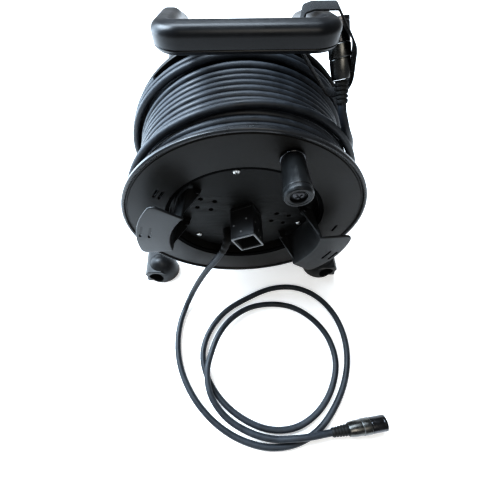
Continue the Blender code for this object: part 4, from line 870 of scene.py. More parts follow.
# Painted shade: the groove ledge round the recess gets a near-black, dull finish that stands in for the shadow under
# the recess edge.
GROOVE_PAINTED_SHADE = Moulding("recess groove", (0.003, 0.003, 0.003), 0.75, dust=0.0, scratches=0.0, specular=0.05)
PLATE_COAT = Moulding("plate powder coat", (0.012, 0.012, 0.0115), 0.48, 700.0, 0.00005, specular=0.2)
HOOK_PLASTIC = Moulding("hook plastic", (0.015, 0.0155, 0.016), 0.38, 1500.0)
KNOB_PLASTIC = Moulding("knob plastic", (0.010, 0.0105, 0.011), 0.30, grain_depth=0.00001, dust=0.1)
HANDLE_PLASTIC = Moulding("handle plastic", (0.011, 0.0115, 0.013), 0.33, 1600.0)
FOOT_PLASTIC = Moulding("foot plastic", (0.015, 0.015, 0.0155), 0.42, 1000.0, dust=0.4)
TUBE_COAT = Moulding("tube powder coat", (0.015, 0.015, 0.016), 0.34, 600.0, 0.00006)
COUPLER_PLASTIC = Moulding("coupler housing", (0.018, 0.018, 0.019), 0.40)
JACK_PLASTIC = Moulding("jack block", (0.010, 0.010, 0.010), 0.30, grain_depth=0.00001, dust=0.0)
GREY_FRAME = Moulding("coupler front frame", (0.16, 0.165, 0.17), 0.34, grain_depth=0.00001, dust=0.1)
RUBBER = Moulding("black rubber", (0.014, 0.014, 0.014), 0.55, 900.0, specular=0.4)
# The dust on the cable's upward faces is real, but its bluish tone and the jacket's own bluish tint are painted sky
# sheen.
JACKET_PAINTED_SHEEN = Moulding(
    "cable jacket", (0.024, 0.028, 0.034), 0.46, 1400.0, cloud_scale=60.0,
    dust=0.35, dusty=(0.055, 0.062, 0.072), scratches=0.3, specular=0.45,
)
NYLON = Moulding("natural nylon", (0.55, 0.53, 0.46), 0.4, dusty=(0.3, 0.29, 0.26))
CLEAR_BLOCK = Moulding("contact block", (0.42, 0.42, 0.40), 0.2, dust=0.0, scratches=0.0)
ZINC = PlatedMetal("zinc plate", (0.50, 0.50, 0.49))
DARK_STEEL = PlatedMetal("blackened steel", (0.075, 0.075, 0.078), 0.36)
CHROME = PlatedMetal("collar chrome", (0.09, 0.09, 0.095), 0.16, 0.000004)
BLACK_NICKEL = PlatedMetal("black nickel", (0.10, 0.10, 0.105), 0.22)
PLUG_METAL = PlatedMetal("plug shell", (0.15, 0.15, 0.145), 0.30)
GOLD = PlatedMetal("gilt contacts", (0.83, 0.62, 0.25), 0.2)
WEBBING = Webbing("strap webbing", (0.012, 0.012, 0.013))


class Recipes:
    """Geometry Nodes trees, each made into a plain mesh straight after use."""

    @staticmethod
    def tree(name: str, inputs: dict[str, str]) -> tuple[Callable, bpy.types.NodeOutputs]:
        """Starts a Geometry Nodes tree with a geometry in and out and named inputs.

        Args:
            name: The tree's name.
            inputs: Name and kind of each input besides the geometry.

        Returns:
            The node adder and the inputs' sockets.
        """
        tree = bpy.data.node_groups.new(name, "GeometryNodeTree")
        for label, kind in ({"Geometry": "Geometry"} | inputs).items():
            tree.interface.new_socket(label, in_out="INPUT", socket_type="NodeSocket" + kind)
        tree.interface.new_socket("Geometry", in_out="OUTPUT", socket_type="NodeSocketGeometry")
        add = Shaders.adder(tree)
        return add, add("NodeGroupInput").outputs

    @staticmethod
    def finish(add: Callable, geometry: Socket, material: Socket) -> None:
        """Ends a tree: makes its instances real and gives them the material.

        Args:
            add: The tree's node adder.
            geometry: The last geometry.
            material: The material's socket.
        """
        real = add("GeometryNodeRealizeInstances", {"Geometry": geometry})
        dressed = add("GeometryNodeSetMaterial", {"Geometry": real.outputs[0], "Material": material})
        add("NodeGroupOutput", {0: dressed.outputs[0]})

    @staticmethod
    def grow(
        name: str, points: Sequence[Vector], edges: Sequence[tuple[int, int]], tree: str, values: dict[str, object]
    ) -> Piece:
        """Runs a tree on points and keeps the result as a plain mesh.

        Args:
            name: Name of the piece.
            points: The points.
            edges: Pairs of points that are joined.
            tree: Name of the Geometry Nodes tree.
            values: Value of each named input.

        Returns:
            The plain mesh object.
        """
        mesh = bpy.data.meshes.new(name)
        mesh.from_pydata([tuple(point) for point in points], edges, [])
        obj = link(name + "_path", mesh)
        modifier = obj.modifiers.new(tree, "NODES")
        modifier.node_group = bpy.data.node_groups[tree]
        for item in modifier.node_group.interface.items_tree:
            if item.item_type == "SOCKET" and item.in_out == "INPUT" and item.name in values:
                modifier[item.identifier] = values[item.name]
        grown = evaluated(obj)
        bpy.data.objects.remove(obj)
        shade(grown, 40.0)
        return link(name, grown)

    @classmethod
    def cable(cls, name: str, points: Sequence[Vector], radius: float, sides: int, finish: Finish) -> Piece:
        """Lays a round cable along a path.

        Args:
            name: Name of the piece.
            points: The path.
            radius: The cable's radius.
            sides: Sides round it.
            finish: Its finish.

        Returns:
            The plain mesh tube with filled ends.
        """
        tree = "Cable along path"
        if tree not in bpy.data.node_groups:
            add, given = cls.tree(tree, {"Radius": "Float", "Sides": "Int", "Material": "Material"})
            path = add("GeometryNodeMeshToCurve", {"Mesh": given["Geometry"]})
            ring = add("GeometryNodeCurvePrimitiveCircle", {"Resolution": given["Sides"], "Radius": given["Radius"]})
            sweep = {"Curve": path.outputs[0], "Profile Curve": ring.outputs[0], "Fill Caps": True}
            cls.finish(add, add("GeometryNodeCurveToMesh", sweep).outputs[0], given["Material"])
        edges = [(index, index + 1) for index in range(len(points) - 1)]
        return cls.grow(name, points, edges, tree, {"Radius": radius, "Sides": sides, "Material": finish.material()})

    @classmethod
    def scatter(
        cls,
        name: str,
        piece: Piece,
        places: Sequence[Vector],
        axis: Vector,
        finish: Finish,
        seed: int,
        spin: float = 2 * math.pi,
    ) -> Piece:
        """Sets copies of one piece at points, each turned about its own axis by a seeded amount.

        Args:
            name: Name of the result.
            piece: The piece at the origin, with its axis along Y. It is deleted.
            places: The points.
            axis: Direction that the piece's Y is turned to.
            finish: Finish of the copies.
            seed: Seed of the turns.
            spin: Largest turn.

        Returns:
            One plain mesh with every copy.
        """
        tree = "Copies at points"
        if tree not in bpy.data.node_groups:
            kinds = {"Piece": "Object", "Lean": "Rotation", "Spin": "Float", "Seed": "Int", "Material": "Material"}
            add, given = cls.tree(tree, kinds)
            points = add("GeometryNodeMeshToPoints", {"Mesh": given["Geometry"], "Radius": 0.001})
            shape = add("GeometryNodeObjectInfo", {"Object": given["Piece"]}).outputs["Geometry"]
            stand = {"Points": points.outputs[0], "Instance": shape, "Rotation": given["Lean"]}
            copies = add("GeometryNodeInstanceOnPoints", stand)
            amount = add("FunctionNodeRandomValue", {"Seed": given["Seed"], 3: given["Spin"]}, data_type="FLOAT")
            turn = add("ShaderNodeCombineXYZ", {"Y": amount.outputs[1]})
            spinning = {"Instances": copies.outputs[0], "Rotation": turn.outputs[0], "Local Space": True}
            cls.finish(add, add("GeometryNodeRotateInstances", spinning).outputs[0], given["Material"])
        lean = Vector(axis).to_track_quat("Y", "Z").to_euler()
        values = {"Piece": piece, "Lean": lean, "Spin": spin, "Seed": seed, "Material": finish.material()}
        result = cls.grow(name, places, [], tree, values)
        bpy.data.objects.remove(piece)
        return result


def dress(obj: Piece, finish: Optional[Finish], body: Body, *nodes: str) -> Piece:
    """Gives a piece its finish, its body and the nodes it stands for.

    Args:
        obj: The finished piece.
        finish: Its finish, or None to keep the piece's own materials.
        body: The body it rides on.
        nodes: CAD nodes that it replaces.

    Returns:
        The same piece.
    """
    if finish is not None:
        obj.data.materials.clear()
        obj.data.materials.append(finish.material())
    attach(obj, body.value)
    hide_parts(*nodes)
    triangles = sum(len(face.vertices) - 2 for face in obj.data.polygons)
    LOG.info("%s rides on %s, %d triangles", obj.name, body.value, triangles)
    return obj


def turn_skin(
    node: str,
    profile: Sequence[Flat],
    place: Union[Vector, Matrix],
    steps: int,
    rounding: float,
    finish: Finish,
    body: Body,
) -> Piece:
    """Turns a profile and dresses it as the skin of one node.

    Args:
        node: The CAD node that it replaces.
        profile: (radius, depth) pairs round the section.
        place: World place of the axis at depth nought, or a frame whose Y is the axis.
        steps: Sides round the turn.
        rounding: Radius that the profile's corners get.
        finish: Its finish.
        body: The body it rides on.

    Returns:
        The dressed piece.
    """
    return dress(turned(node + "_skin", profile, place, steps, rounding), finish, body, node)


def pan_head_screw(radius: float, height: float) -> Piece:
    """Builds a domed screw head with a cross recess, facing along minus Y from the origin.

    Args:
        radius: Head radius.
        height: Head height.

    Returns:
        The mesh object at the origin.
    """
    profile = [(0.0, 0.0), (radius, 0.0)]
    for step in range(1, 7):
        angle = math.pi / 2 * step / 6
        profile.append((radius * math.cos(angle) if step < 6 else 0.0, -height * (0.25 + 0.75 * math.sin(angle))))
    arm, slim = radius * 0.62, radius * 0.13
    low, high = (-arm, -height * 1.2, -slim), (arm, -height * 0.45, slim)
    cuts = [box_piece("recess", low, high, Matrix.Rotation(turn, 4, "Y")) for turn in (0.0, math.pi / 2)]
    return carve(turned("screw", profile, Vector(), 28), cuts)


def screw_holes(depth: float, front: float, back: float) -> list[Piece]:
    """Returns cutters for the three screw holes, which reach before and behind a depth."""
    places = [on_drum(SCREW_CIRCLE, angle, depth) for angle in SCREW_ANGLES]
    return [rod_piece("hole", PIN_HOLE, place - BACKWARDS * front, place + BACKWARDS * back, 16) for place in places]


@dataclass
class FrontFlange:
    """The front flange: rolled rim with a painted highlight, groove with painted shade, stepped recess and the tie
    slots beside the hooks.
    """

    radius: float = FLANGE_RADIUS
    thickness: float = 0.004
    recess: float = 0.1030
    cup: float = 0.0980
    seat: float = 0.0163
    groove: float = 0.0012
    slot_length: float = 0.016
    slot_width: float = 0.0032

    def outline(self) -> list[Flat]:
        """Returns the flange's section in radius and depth."""
        inner, wall, bottom = self.cup - 0.0175, self.cup + 0.003, self.seat + 0.003
        corners = [(inner, self.seat), (self.cup, self.seat), (self.cup + 0.0004, self.groove)]
        corners += [(self.recess, self.groove), (self.recess + 0.0002, 0.0)]
        rim = [(0.0072, 0.0), (0.0068, 0.0012), (0.0047, 0.0012), (0.0040, -0.0014), (0.0020, -0.0020)]
        rim += [(0.0, -0.0006), (0.0, 0.0034), (0.0012, self.thickness)]
        corners += [(self.radius - inset, depth) for inset, depth in rim]
        corners += [(wall, self.thickness), (wall, bottom), (inner, bottom)]
        return rounded_profile(corners, 0.0012, 4)

    def build(self) -> None:
        """Builds and dresses the flange."""
        cutters = []
        for turn, radius in FLANGE_SLOTS:
            frame = radial_frame(math.radians(turn), HUB) @ FACING_BACK
            cutters.append(slot_cutter((radius, 0.0), self.slot_length, self.slot_width, 0.03, frame))
        cutters += screw_holes(self.seat, 0.004, 0.008)
        flange = carve(turned("front_flange_skin", self.outline(), HUB, 192), cutters)
        mesh = flange.data
        mesh.materials.clear()
        for finish in (FLANGE_PLASTIC, RIM_PAINTED_HIGHLIGHT, GROOVE_PAINTED_SHADE):
            mesh.materials.append(finish.material())
        for face in mesh.polygons:
            reach = math.hypot(face.center.x - HUB.x, face.center.z - HUB.z)
            # Faces round the rim take the glossier finish with its painted highlight.
            if reach > self.radius - 0.0042:
                face.material_index = 1
            # Faces on the groove ledge round the recess take the near-black painted shade.
            elif self.cup - 0.0006 < reach < self.recess + 0.0002 and face.center.y - HUB.y > 0.0004:
                face.material_index = 2
        dress(flange, None, Body.DRUM, "front_flange")


@dataclass
class RearFlange:
    """The rear flange with its hub and stiffening rings."""

    radius: float = FLANGE_RADIUS
    width: float = DRUM_WIDTH

    def build(self) -> None:
        """Builds and dresses the flange."""
        width, inner = self.width, self.width - 0.004
        corners = [(0.0144, width), (0.0144, width - 0.040), (0.021, width - 0.040), (0.0215, inner)]
        rim = [(0.005, inner), (0.004, inner - 0.003), (0.001, inner - 0.003), (0.0, inner)]
        rim += [(0.001, width + 0.001), (0.004, width + 0.001), (0.0055, width - 0.0008)]
        corners += [(self.radius - inset, depth) for inset, depth in rim]
        for radius, sunk in ((0.112, 8), (0.110, 0), (0.106, 0), (0.104, 8), (0.040, 8), (0.038, 0)):
            corners.append((radius, width - sunk * 0.0001))
        flange = turned("rear_flange_skin", rounded_profile(corners, 0.0006, 3), HUB, 160)
        flange = carve(flange, screw_holes(width, 0.008, 0.004))
        dress(flange, FLANGE_PLASTIC, Body.DRUM, "rear_flange")


@dataclass
class ConnectorPlate:
    """The round plate in the recess, with its hole groups, hinge lugs and screws."""

    radius: float = 0.0925
    front: float = 0.013
    thickness: float = 0.003
    group_radius: float = 0.0535
    group_angles: tuple[float, float] = (math.radians(-17.0), math.radians(156.5))
    group_spread: float = 0.013
    hole_radius: float = 0.003

    def build(self) -> None:
        """Builds and dresses the plate and its screws."""
        frame = Matrix.Translation(HUB + BACKWARDS * (self.front + self.thickness / 2)) @ FACING_FRONT
        holes = []
        for angle in self.group_angles:
            middle = Vector((self.group_radius * math.cos(angle), self.group_radius * math.sin(angle)))
            for corner in range(4):
                turn = math.radians(27 + 90 * corner)
                spot = middle + Vector((math.cos(turn), math.sin(turn))) * self.group_spread
                holes.append(circle(self.hole_radius, 20, *spot))
        for angle in SCREW_ANGLES:
            holes.append(circle(PIN_HOLE, 20, *(Vector((math.cos(angle), math.sin(angle))) * SCREW_CIRCLE)))
        pieces = [plate_piece("plate_face", circle(self.radius, 160), self.thickness, frame, holes)]
        reach = HOOK_HALF_WIDTH - HOOK_WALL * 1.5 - GAP
        for turn in (HOOK_ANGLE, HOOK_ANGLE + math.pi):
            for middle in (-reach, reach):
                place = Matrix.Translation((HINGE_RADIUS, HINGE_HEIGHT, middle))
                pieces.append(self.lug(radial_frame(turn, HUB) @ place))
        dress(merge("connector_plate_skin", pieces), PLATE_COAT, Body.DRUM, "connector_plate")
        places = [on_drum(SCREW_CIRCLE, angle, self.front - GAP) for angle in SCREW_ANGLES]
        screws = Recipes.scatter("plate_screws", pan_head_screw(0.0043, 0.0023), places, BACKWARDS, ZINC, 4)
        dress(screws, None, Body.DRUM, "plate_screw_1", "plate_screw_2", "plate_screw_3")

    def lug(self, matrix: Matrix) -> Piece:
        """Builds one hinge lug: a small plate with a round top and a pin hole.

        Args:
            matrix: Frame at the hinge pin, with Z along the pin.

        Returns:
            The lug's mesh.
        """
        foot = self.front - HINGE_HEIGHT + 0.0006
        outline = [(HINGE_EAR, foot), (HINGE_EAR, 0.0)]
        for step in range(1, 12):
            angle = -math.pi * step / 12
            outline.append((HINGE_EAR * math.cos(angle), HINGE_EAR * math.sin(angle)))
        outline += [(-HINGE_EAR, 0.0), (-HINGE_EAR - 0.002, foot)]
        return plate_piece("lug", outline, HOOK_WALL, matrix, [circle(PIN_HOLE)], 0.0003)


@dataclass
class Coupler:
    """The feed-through coupler: housing with a pale front frame, jack with gilt contacts, latch."""

    side: float = 0.032
    wall: float = 0.0035
    length: float = 0.047
    pocket_depth: float = 0.024
    turn: float = math.radians(26.0)
    offset: Flat = (0.003, 0.002)
    plate_front: float = 0.013

    def build(self) -> None:
        """Builds and dresses the coupler."""
        frame = radial_frame(self.turn, HUB + Vector((self.offset[0], 0, self.offset[1])))
        front = self.plate_front - GAP - self.length
        self.housing(frame, front)
        self.jack(frame, front + self.pocket_depth - GAP)

    def housing(self, frame: Matrix, front: float) -> None:
        """Builds the hollow housing with its frames and pips.

        Args:
            frame: The coupler's frame.
            front: Depth of its front.
        """
        half, back = self.side / 2, self.plate_front - GAP
        hollow = half - self.wall
        shell = box_piece("coupler_shell", (-half, front + 0.0016, -half), (half, back, half), frame, 0.0011)
        high = (hollow, front + self.pocket_depth, hollow)
        shell = carve(shell, [box_piece("pocket", (-hollow, front - 0.01, -hollow), high, frame, 0.0008)])
        shell.data.materials.append(COUPLER_PLASTIC.material())
        outline = rounded_rectangle(half, half, 0.0016)
        opening = rounded_rectangle(hollow + 0.0013, hollow + 0.0013, 0.0010)
        pieces = [shell]
        for depth, thickness, holes in ((front + 0.0008, 0.0016, [opening]), (back - 0.0042, 0.0012, [])):
            place = frame @ (Matrix.Translation((0, depth, 0)) @ FACING_FRONT)
            pieces.append(plate_piece("coupler_rim", outline, thickness, place, holes, 0.0003))
            pieces[-1].data.materials.append(GREY_FRAME.material())
        dot = [(0.0, -0.0002), (0.0014, -0.0002), (0.0014, 0.0002), (0.0010, 0.0004), (0.0, 0.0004)]
        upper = [(x, front + y, half) for x, y in ((0.0064, 0.026), (-0.0016, 0.0094), (-0.0112, 0.020))]
        outer = [(half, front + y, z) for z, y in ((0.010, 0.021), (0.0, 0.014), (-0.004, 0.006))]
        for name, places, way, seed in (("upper_pips", upper, (0, 0, 1), 4), ("outer_pips", outer, (1, 0, 0), 5)):
            axis = (frame.to_3x3() @ Vector(way)).normalized()
            pip = turned("pip", dot, Vector(), 16)
            spots = [frame @ Vector(place) for place in places]
            pieces.append(Recipes.scatter(name, pip, spots, axis, GREY_FRAME, seed, 0.0))
        dress(merge("coupler_housing_skin", pieces), None, Body.DRUM, "coupler_housing")

    def jack(self, frame: Matrix, floor: float) -> None:
        """Builds the jack in the pocket and its latch.

        Args:
            frame: The coupler's frame.
            floor: Depth of the pocket's floor.
        """
        side = self.side / 2 - self.wall - GAP
        jack = box_piece("coupler_jack_block", (-side, floor - 0.008, -side), (side, floor, side), frame, 0.0006)
        port = box_piece("port", (-0.006, floor - 0.010, -0.00425), (0.006, floor - 0.002, 0.00425), frame)
        notch = box_piece("notch", (-0.003, floor - 0.010, -0.0062), (0.003, floor - 0.003, -0.004), frame)
        jack = carve(jack, [port, notch])
        jack.data.materials.append(JACK_PLASTIC.material())
        contact = box_piece("contact", (-0.00022, -0.0026, -0.0001), (0.00022, 0.0026, 0.0001))
        spots = [frame @ Vector((FIRST_CONTACT + CONTACT_PITCH * i, floor - 0.0050, 0.0034)) for i in range(8)]
        lean = (frame.to_3x3() @ Vector((0, 1, 0.12))).normalized()
        contacts = Recipes.scatter("contacts", contact, spots, lean, GOLD, 1, 0.0)
        dress(merge("coupler_jack_skin", [jack, contacts]), None, Body.DRUM, "coupler_jack")
        root = floor - 0.008 - GAP
        low, high = (-0.0045, root - 0.012, side - 0.0035), (0.0045, root, side)
        dress(box_piece("coupler_latch_skin", low, high, frame, 0.0008), ZINC, Body.LATCH, "coupler_latch")


@dataclass
class WindingHooks:
    """The two fold-in hooks for the patch lead's turns: curved walls about the drum's axis, with flat tongues."""

    half_turn: float = math.radians(24.0)
    reach: float = 0.036
    foot_radius: float = 0.0875
    foot_depth: float = 0.0095
    ridge_radius: float = 0.094
    tongue_radius: float = 0.1335
    corner: float = 0.009
    ear_foot: float = 0.0105
    ear_ridge: float = 0.0165
    slot_length: float = 0.024
    slot_width: float = 0.0032
    slot_inset: float = 0.0055
    slot_spacing: float = 0.0100

    def build(self) -> None:
        """Builds and dresses both hooks and their pins."""
        self.hook(Side.RIGHT, Body.HOOK_RIGHT, HOOK_ANGLE)
        self.hook(Side.LEFT, Body.HOOK_LEFT, HOOK_ANGLE + math.pi)

    def section(self, outer: float, inset: float) -> list[Flat]:
        """Returns the hook's section in radius and depth.

        Args:
            outer: Radius of the tongue's free edge there.
            inset: How far the section is drawn in, for the rounding of the end faces.
        """
        front = -self.reach + inset
        under = HOOK_WALL - self.reach - inset
        foot = self.foot_depth - inset
        corners = [(self.foot_radius + inset, foot), (self.ridge_radius + inset, front), (outer - inset, front)]
        corners += [(outer - inset, under), (self.ridge_radius + HOOK_WALL - inset, under)]
        corners += [(self.foot_radius + HOOK_WALL - inset, foot)]
        return rounded_profile(corners, 0.0013, 4)

    def shell(self, turn: float) -> Piece:
        """Builds the wall and tongue as one curved body.

        Args:
            turn: Direction of the hook about the drum's axis.

        Returns:
            The mesh object.
        """

        def cut(share: float) -> float:
            """Returns the tongue's radius at a share of its rounded corner."""
            return self.tongue_radius - self.corner * (1.0 - math.sqrt(max(0.0, 1.0 - (1.0 - share) ** 2)))

        rings = []
        for inset, back in ((0.0009, 0.0), (0.0004, 0.0002), (0.0001, 0.0006), (0.0, 0.0011)):
            rings.append((self.half_turn - back / self.tongue_radius, cut(back / self.corner), inset))
        for step in range(1, 11):
            share = 0.12 + 0.88 * step / 10
            rings.append((self.half_turn - share * self.corner / self.tongue_radius, cut(share), 0.0))
        last = rings[-1][0]
        rings += [(last * (1.0 - step / 12), self.tongue_radius, 0.0) for step in range(1, 13)]
        rings = [(-angle, outer, inset) for angle, outer, inset in rings] + list(reversed(rings[:-1]))
        bm = bmesh.new()
        loops = []
        for angle, outer, inset in rings:
            outline = self.section(outer, inset)
            loops.append([bm.verts.new(on_drum(radius, angle + turn, depth)) for radius, depth in outline])
        join_rings(bm, loops, False)
        return piece_of("hook_shell", bm)

    def hook(self, side: Side, body: Body, turn: float) -> None:
        """Builds one hook with its ears, slots and pins.

        Args:
            side: Which hook it is.
            body: The body it rides on.
            turn: Direction of the hook about the drum's axis.
        """
        frame = radial_frame(turn, HUB)
        hinge = frame @ Matrix.Translation((HINGE_RADIUS, HINGE_HEIGHT, 0))
        face = frame @ Matrix.Translation((0, -self.reach, 0)) @ FACING_BACK
        slots = []
        for row in range(2):
            middle = self.tongue_radius - self.slot_inset - row * self.slot_spacing
            slots.append(slot_cutter((middle, 0.0), self.slot_length, self.slot_width, 0.02, face))
        pieces = [carve(self.shell(turn), slots), *(self.side_ear(hinge, way) for way in (-1, 1))]
        node = f"winding_hook_{side.word}"
        dress(merge(node + "_skin", pieces), HOOK_PLASTIC, body, node)
        for end, way in (("upper", 1), ("lower", -1)):
            inner = way * (HOOK_HALF_WIDTH - 2 * HOOK_WALL - GAP)
            outer = way * (HOOK_HALF_WIDTH + GAP)
            head = way * (HOOK_HALF_WIDTH + GAP + 0.0012)
            profile = [(0.0, inner), (0.0020, inner), (0.0020, outer), (0.0034, outer), (0.0031, head), (0.0, head)]
            node = f"hook_pin_{side.word}_{end}"
            turn_skin(node, profile, hinge @ FACING_FRONT, 28, 0.0003, DARK_STEEL, Body.DRUM)

    def side_ear(self, hinge: Matrix, way: int) -> Piece:
        """Builds one of the two ears that carry the hook on its pins.

        Args:
            hinge: The hinge frame.
            way: Which end of the pin it is on.

        Returns:
            The ear's mesh.
        """
        ridge = -self.reach - HINGE_HEIGHT
        outline = [(0.0, HINGE_EAR)]
        for step in range(1, 10):
            angle = math.pi / 2 + math.pi * 0.55 * step / 9
            outline.append((HINGE_EAR * math.cos(angle), HINGE_EAR * math.sin(angle)))
        outline += [(self.ear_ridge - 0.0040, ridge + 0.012), (self.ear_ridge - 0.0004, ridge + 0.0045)]
        outline += [(self.ear_ridge + HOOK_WALL * 0.6, ridge + HOOK_WALL * 0.4)]
        outline += [(self.ear_foot, self.foot_depth - HINGE_HEIGHT - 0.0002)]
        matrix = hinge @ Matrix.Translation((0, 0, way * (HOOK_HALF_WIDTH - HOOK_WALL / 2)))
        return plate_piece("ear", outline, HOOK_WALL, matrix, [circle(PIN_HOLE)], 0.0005)


@dataclass
class CrankKnob:
    """The free-turning knob with its chrome collar, spindle and end screw."""

    circle: float = 0.125
    angle: float = math.radians(68.5)
    collar: float = 0.004
    length: float = 0.047

    def build(self) -> None:
        """Builds and dresses the knob."""
        centre = on_drum(self.circle, self.angle)
        front = -GAP - self.collar
        base = front - GAP
        tip = base - self.length
        shoulder = tip + 0.005
        collar = [(0.0043, -GAP), (0.0132, -GAP), (0.0132, front), (0.0043, front)]
        turn_skin("knob_collar", collar, centre, 64, 0.0012, CHROME, Body.DRUM)
        waist = ((46, 0.0), (118, 0.0), (122, 0.0015), (125, 0.010), (136, 0.028), (143, 0.0375), (143, 0.0385))
        bead = ((138, 0.0389), (138, 0.0396), (148, 0.0400), (148, 0.0440))
        crown = ((138, 0.0006), (128, 0.0), (112, 0.0002), (108, 0.0008), (96, 0.0008), (85, 0.0014))
        grip = [(radius / 10000, base - depth) for radius, depth in waist + bead]
        grip += [(radius / 10000, tip + depth) for radius, depth in crown]
        grip += [(0.0085, shoulder), (0.0046, shoulder)]
        turn_skin("crank_knob", grip, centre, 72, 0.0005, KNOB_PLASTIC, Body.KNOB)
        tail = 0.004 + GAP
        spindle = [(0.0, shoulder + GAP), (0.004, shoulder + GAP), (0.004, tail)]
        spindle += [(0.0072, tail), (0.0060, tail + 0.0025), (0.0, tail + 0.0025)]
        turn_skin("knob_spindle", spindle, centre, 40, 0.0003, ZINC, Body.DRUM)
        place = [centre + BACKWARDS * (shoulder - GAP)]
        head = pan_head_screw(0.0064, 0.0029)
        screw = Recipes.scatter("knob_end_screw_skin", head, place, BACKWARDS, DARK_STEEL, 3)
        dress(screw, None, Body.DRUM, "knob_end_screw")


@dataclass
class Winding:
    """The wound cable: the outer layer with its loose crossing turn, and the layer under it."""

    layer: float = 0.138
    pitch: float = 0.00965
    first: float = 0.018
    last: float = 0.1455
    rise: float = 0.010
    bulge: float = 0.005
    rise_start: float = 0.113
    rise_length: float = 0.014
    crossing: float = 0.0099
    clearance: float = 0.12
    over_depth: float = 0.052
    end_depth: float = 0.027

    def radius(self, depth: float, angle: float) -> float:
        """Returns the radius of the outer layer's middle line at a depth and angle.

        Args:
            depth: Depth behind the flange face.
            angle: Direction about the drum's axis.
        """
        share = smooth_step((depth - self.rise_start) / self.rise_length)
        swell = max(0.0, -math.cos(angle)) ** 2
        return self.layer + share * (self.rise + self.bulge * swell)

    def points(self, per_turn: int, loose: float) -> list[Vector]:
        """Returns the outer layer's path from the rear flange to its front end.

        Args:
            per_turn: Points in each turn.
            loose: How unevenly the turns lie, in metres.
        """
        climb_start, climb_end = math.radians(-150.0), math.radians(-90.0)
        over_right, finish = 0.0, math.radians(195.0)
        turns = round((self.last - self.first) / self.pitch * 24)
        start = climb_start - turns * 2 * math.pi / 24
        count = round((finish - start) / (2 * math.pi) * per_turn)
        low = self.first + self.pitch * (climb_start - climb_end) / (2 * math.pi) + self.pitch
        points = []
        for angle in np.linspace(start, finish, count + 1):
            depth = self.first + self.pitch * (climb_start - angle) / (2 * math.pi)
            radius = self.radius(depth, angle)
            if angle > climb_start:
                climb = math.pi / 2 * smooth_step((angle - climb_start) / (climb_end - climb_start))
                clear = 1.0 + self.clearance * math.sin(2 * climb)
                depth += self.pitch - self.pitch * math.cos(climb) * clear
                radius = self.layer + self.crossing * math.sin(climb) * clear
            if climb_end < angle < over_right:
                share = smooth_step((angle - climb_end) / (over_right - climb_end))
                depth = low + (self.over_depth - low) * share
            elif angle >= over_right:
                share = smooth_step((angle - over_right) / (finish - over_right))
                depth = self.over_depth + (self.end_depth - self.over_depth) * share
            shift = noise.noise(Vector((math.cos(angle) * 1.1, math.sin(angle) * 1.1, angle * 0.35))) * loose
            points.append(on_drum(radius + shift * 0.8, angle, depth + shift * 0.5))
        return points

    def build(self) -> None:
        """Builds and dresses the layers."""
        outer = Recipes.cable("wound_cable_turns", self.points(96, 0.0005), CABLE_RADIUS, 14, JACKET_PAINTED_SHEEN)
        dress(outer, None, Body.DRUM, "wound_cable")
        inner = []
        for angle in np.linspace(0.0, 2 * math.pi * 13.0, 13 * 64):
            depth = 0.0225 + self.pitch * angle / (2 * math.pi)
            share = smooth_step((depth - self.rise_start - 0.006) / self.rise_length)
            inner.append(on_drum(self.layer - 0.0086 + share * 0.009, angle, min(depth, 0.147)))
        under = Recipes.cable("under_layer_turns", inner, CABLE_RADIUS, 8, JACKET_PAINTED_SHEEN)
        dress(under, None, Body.DRUM, "cable_pack")


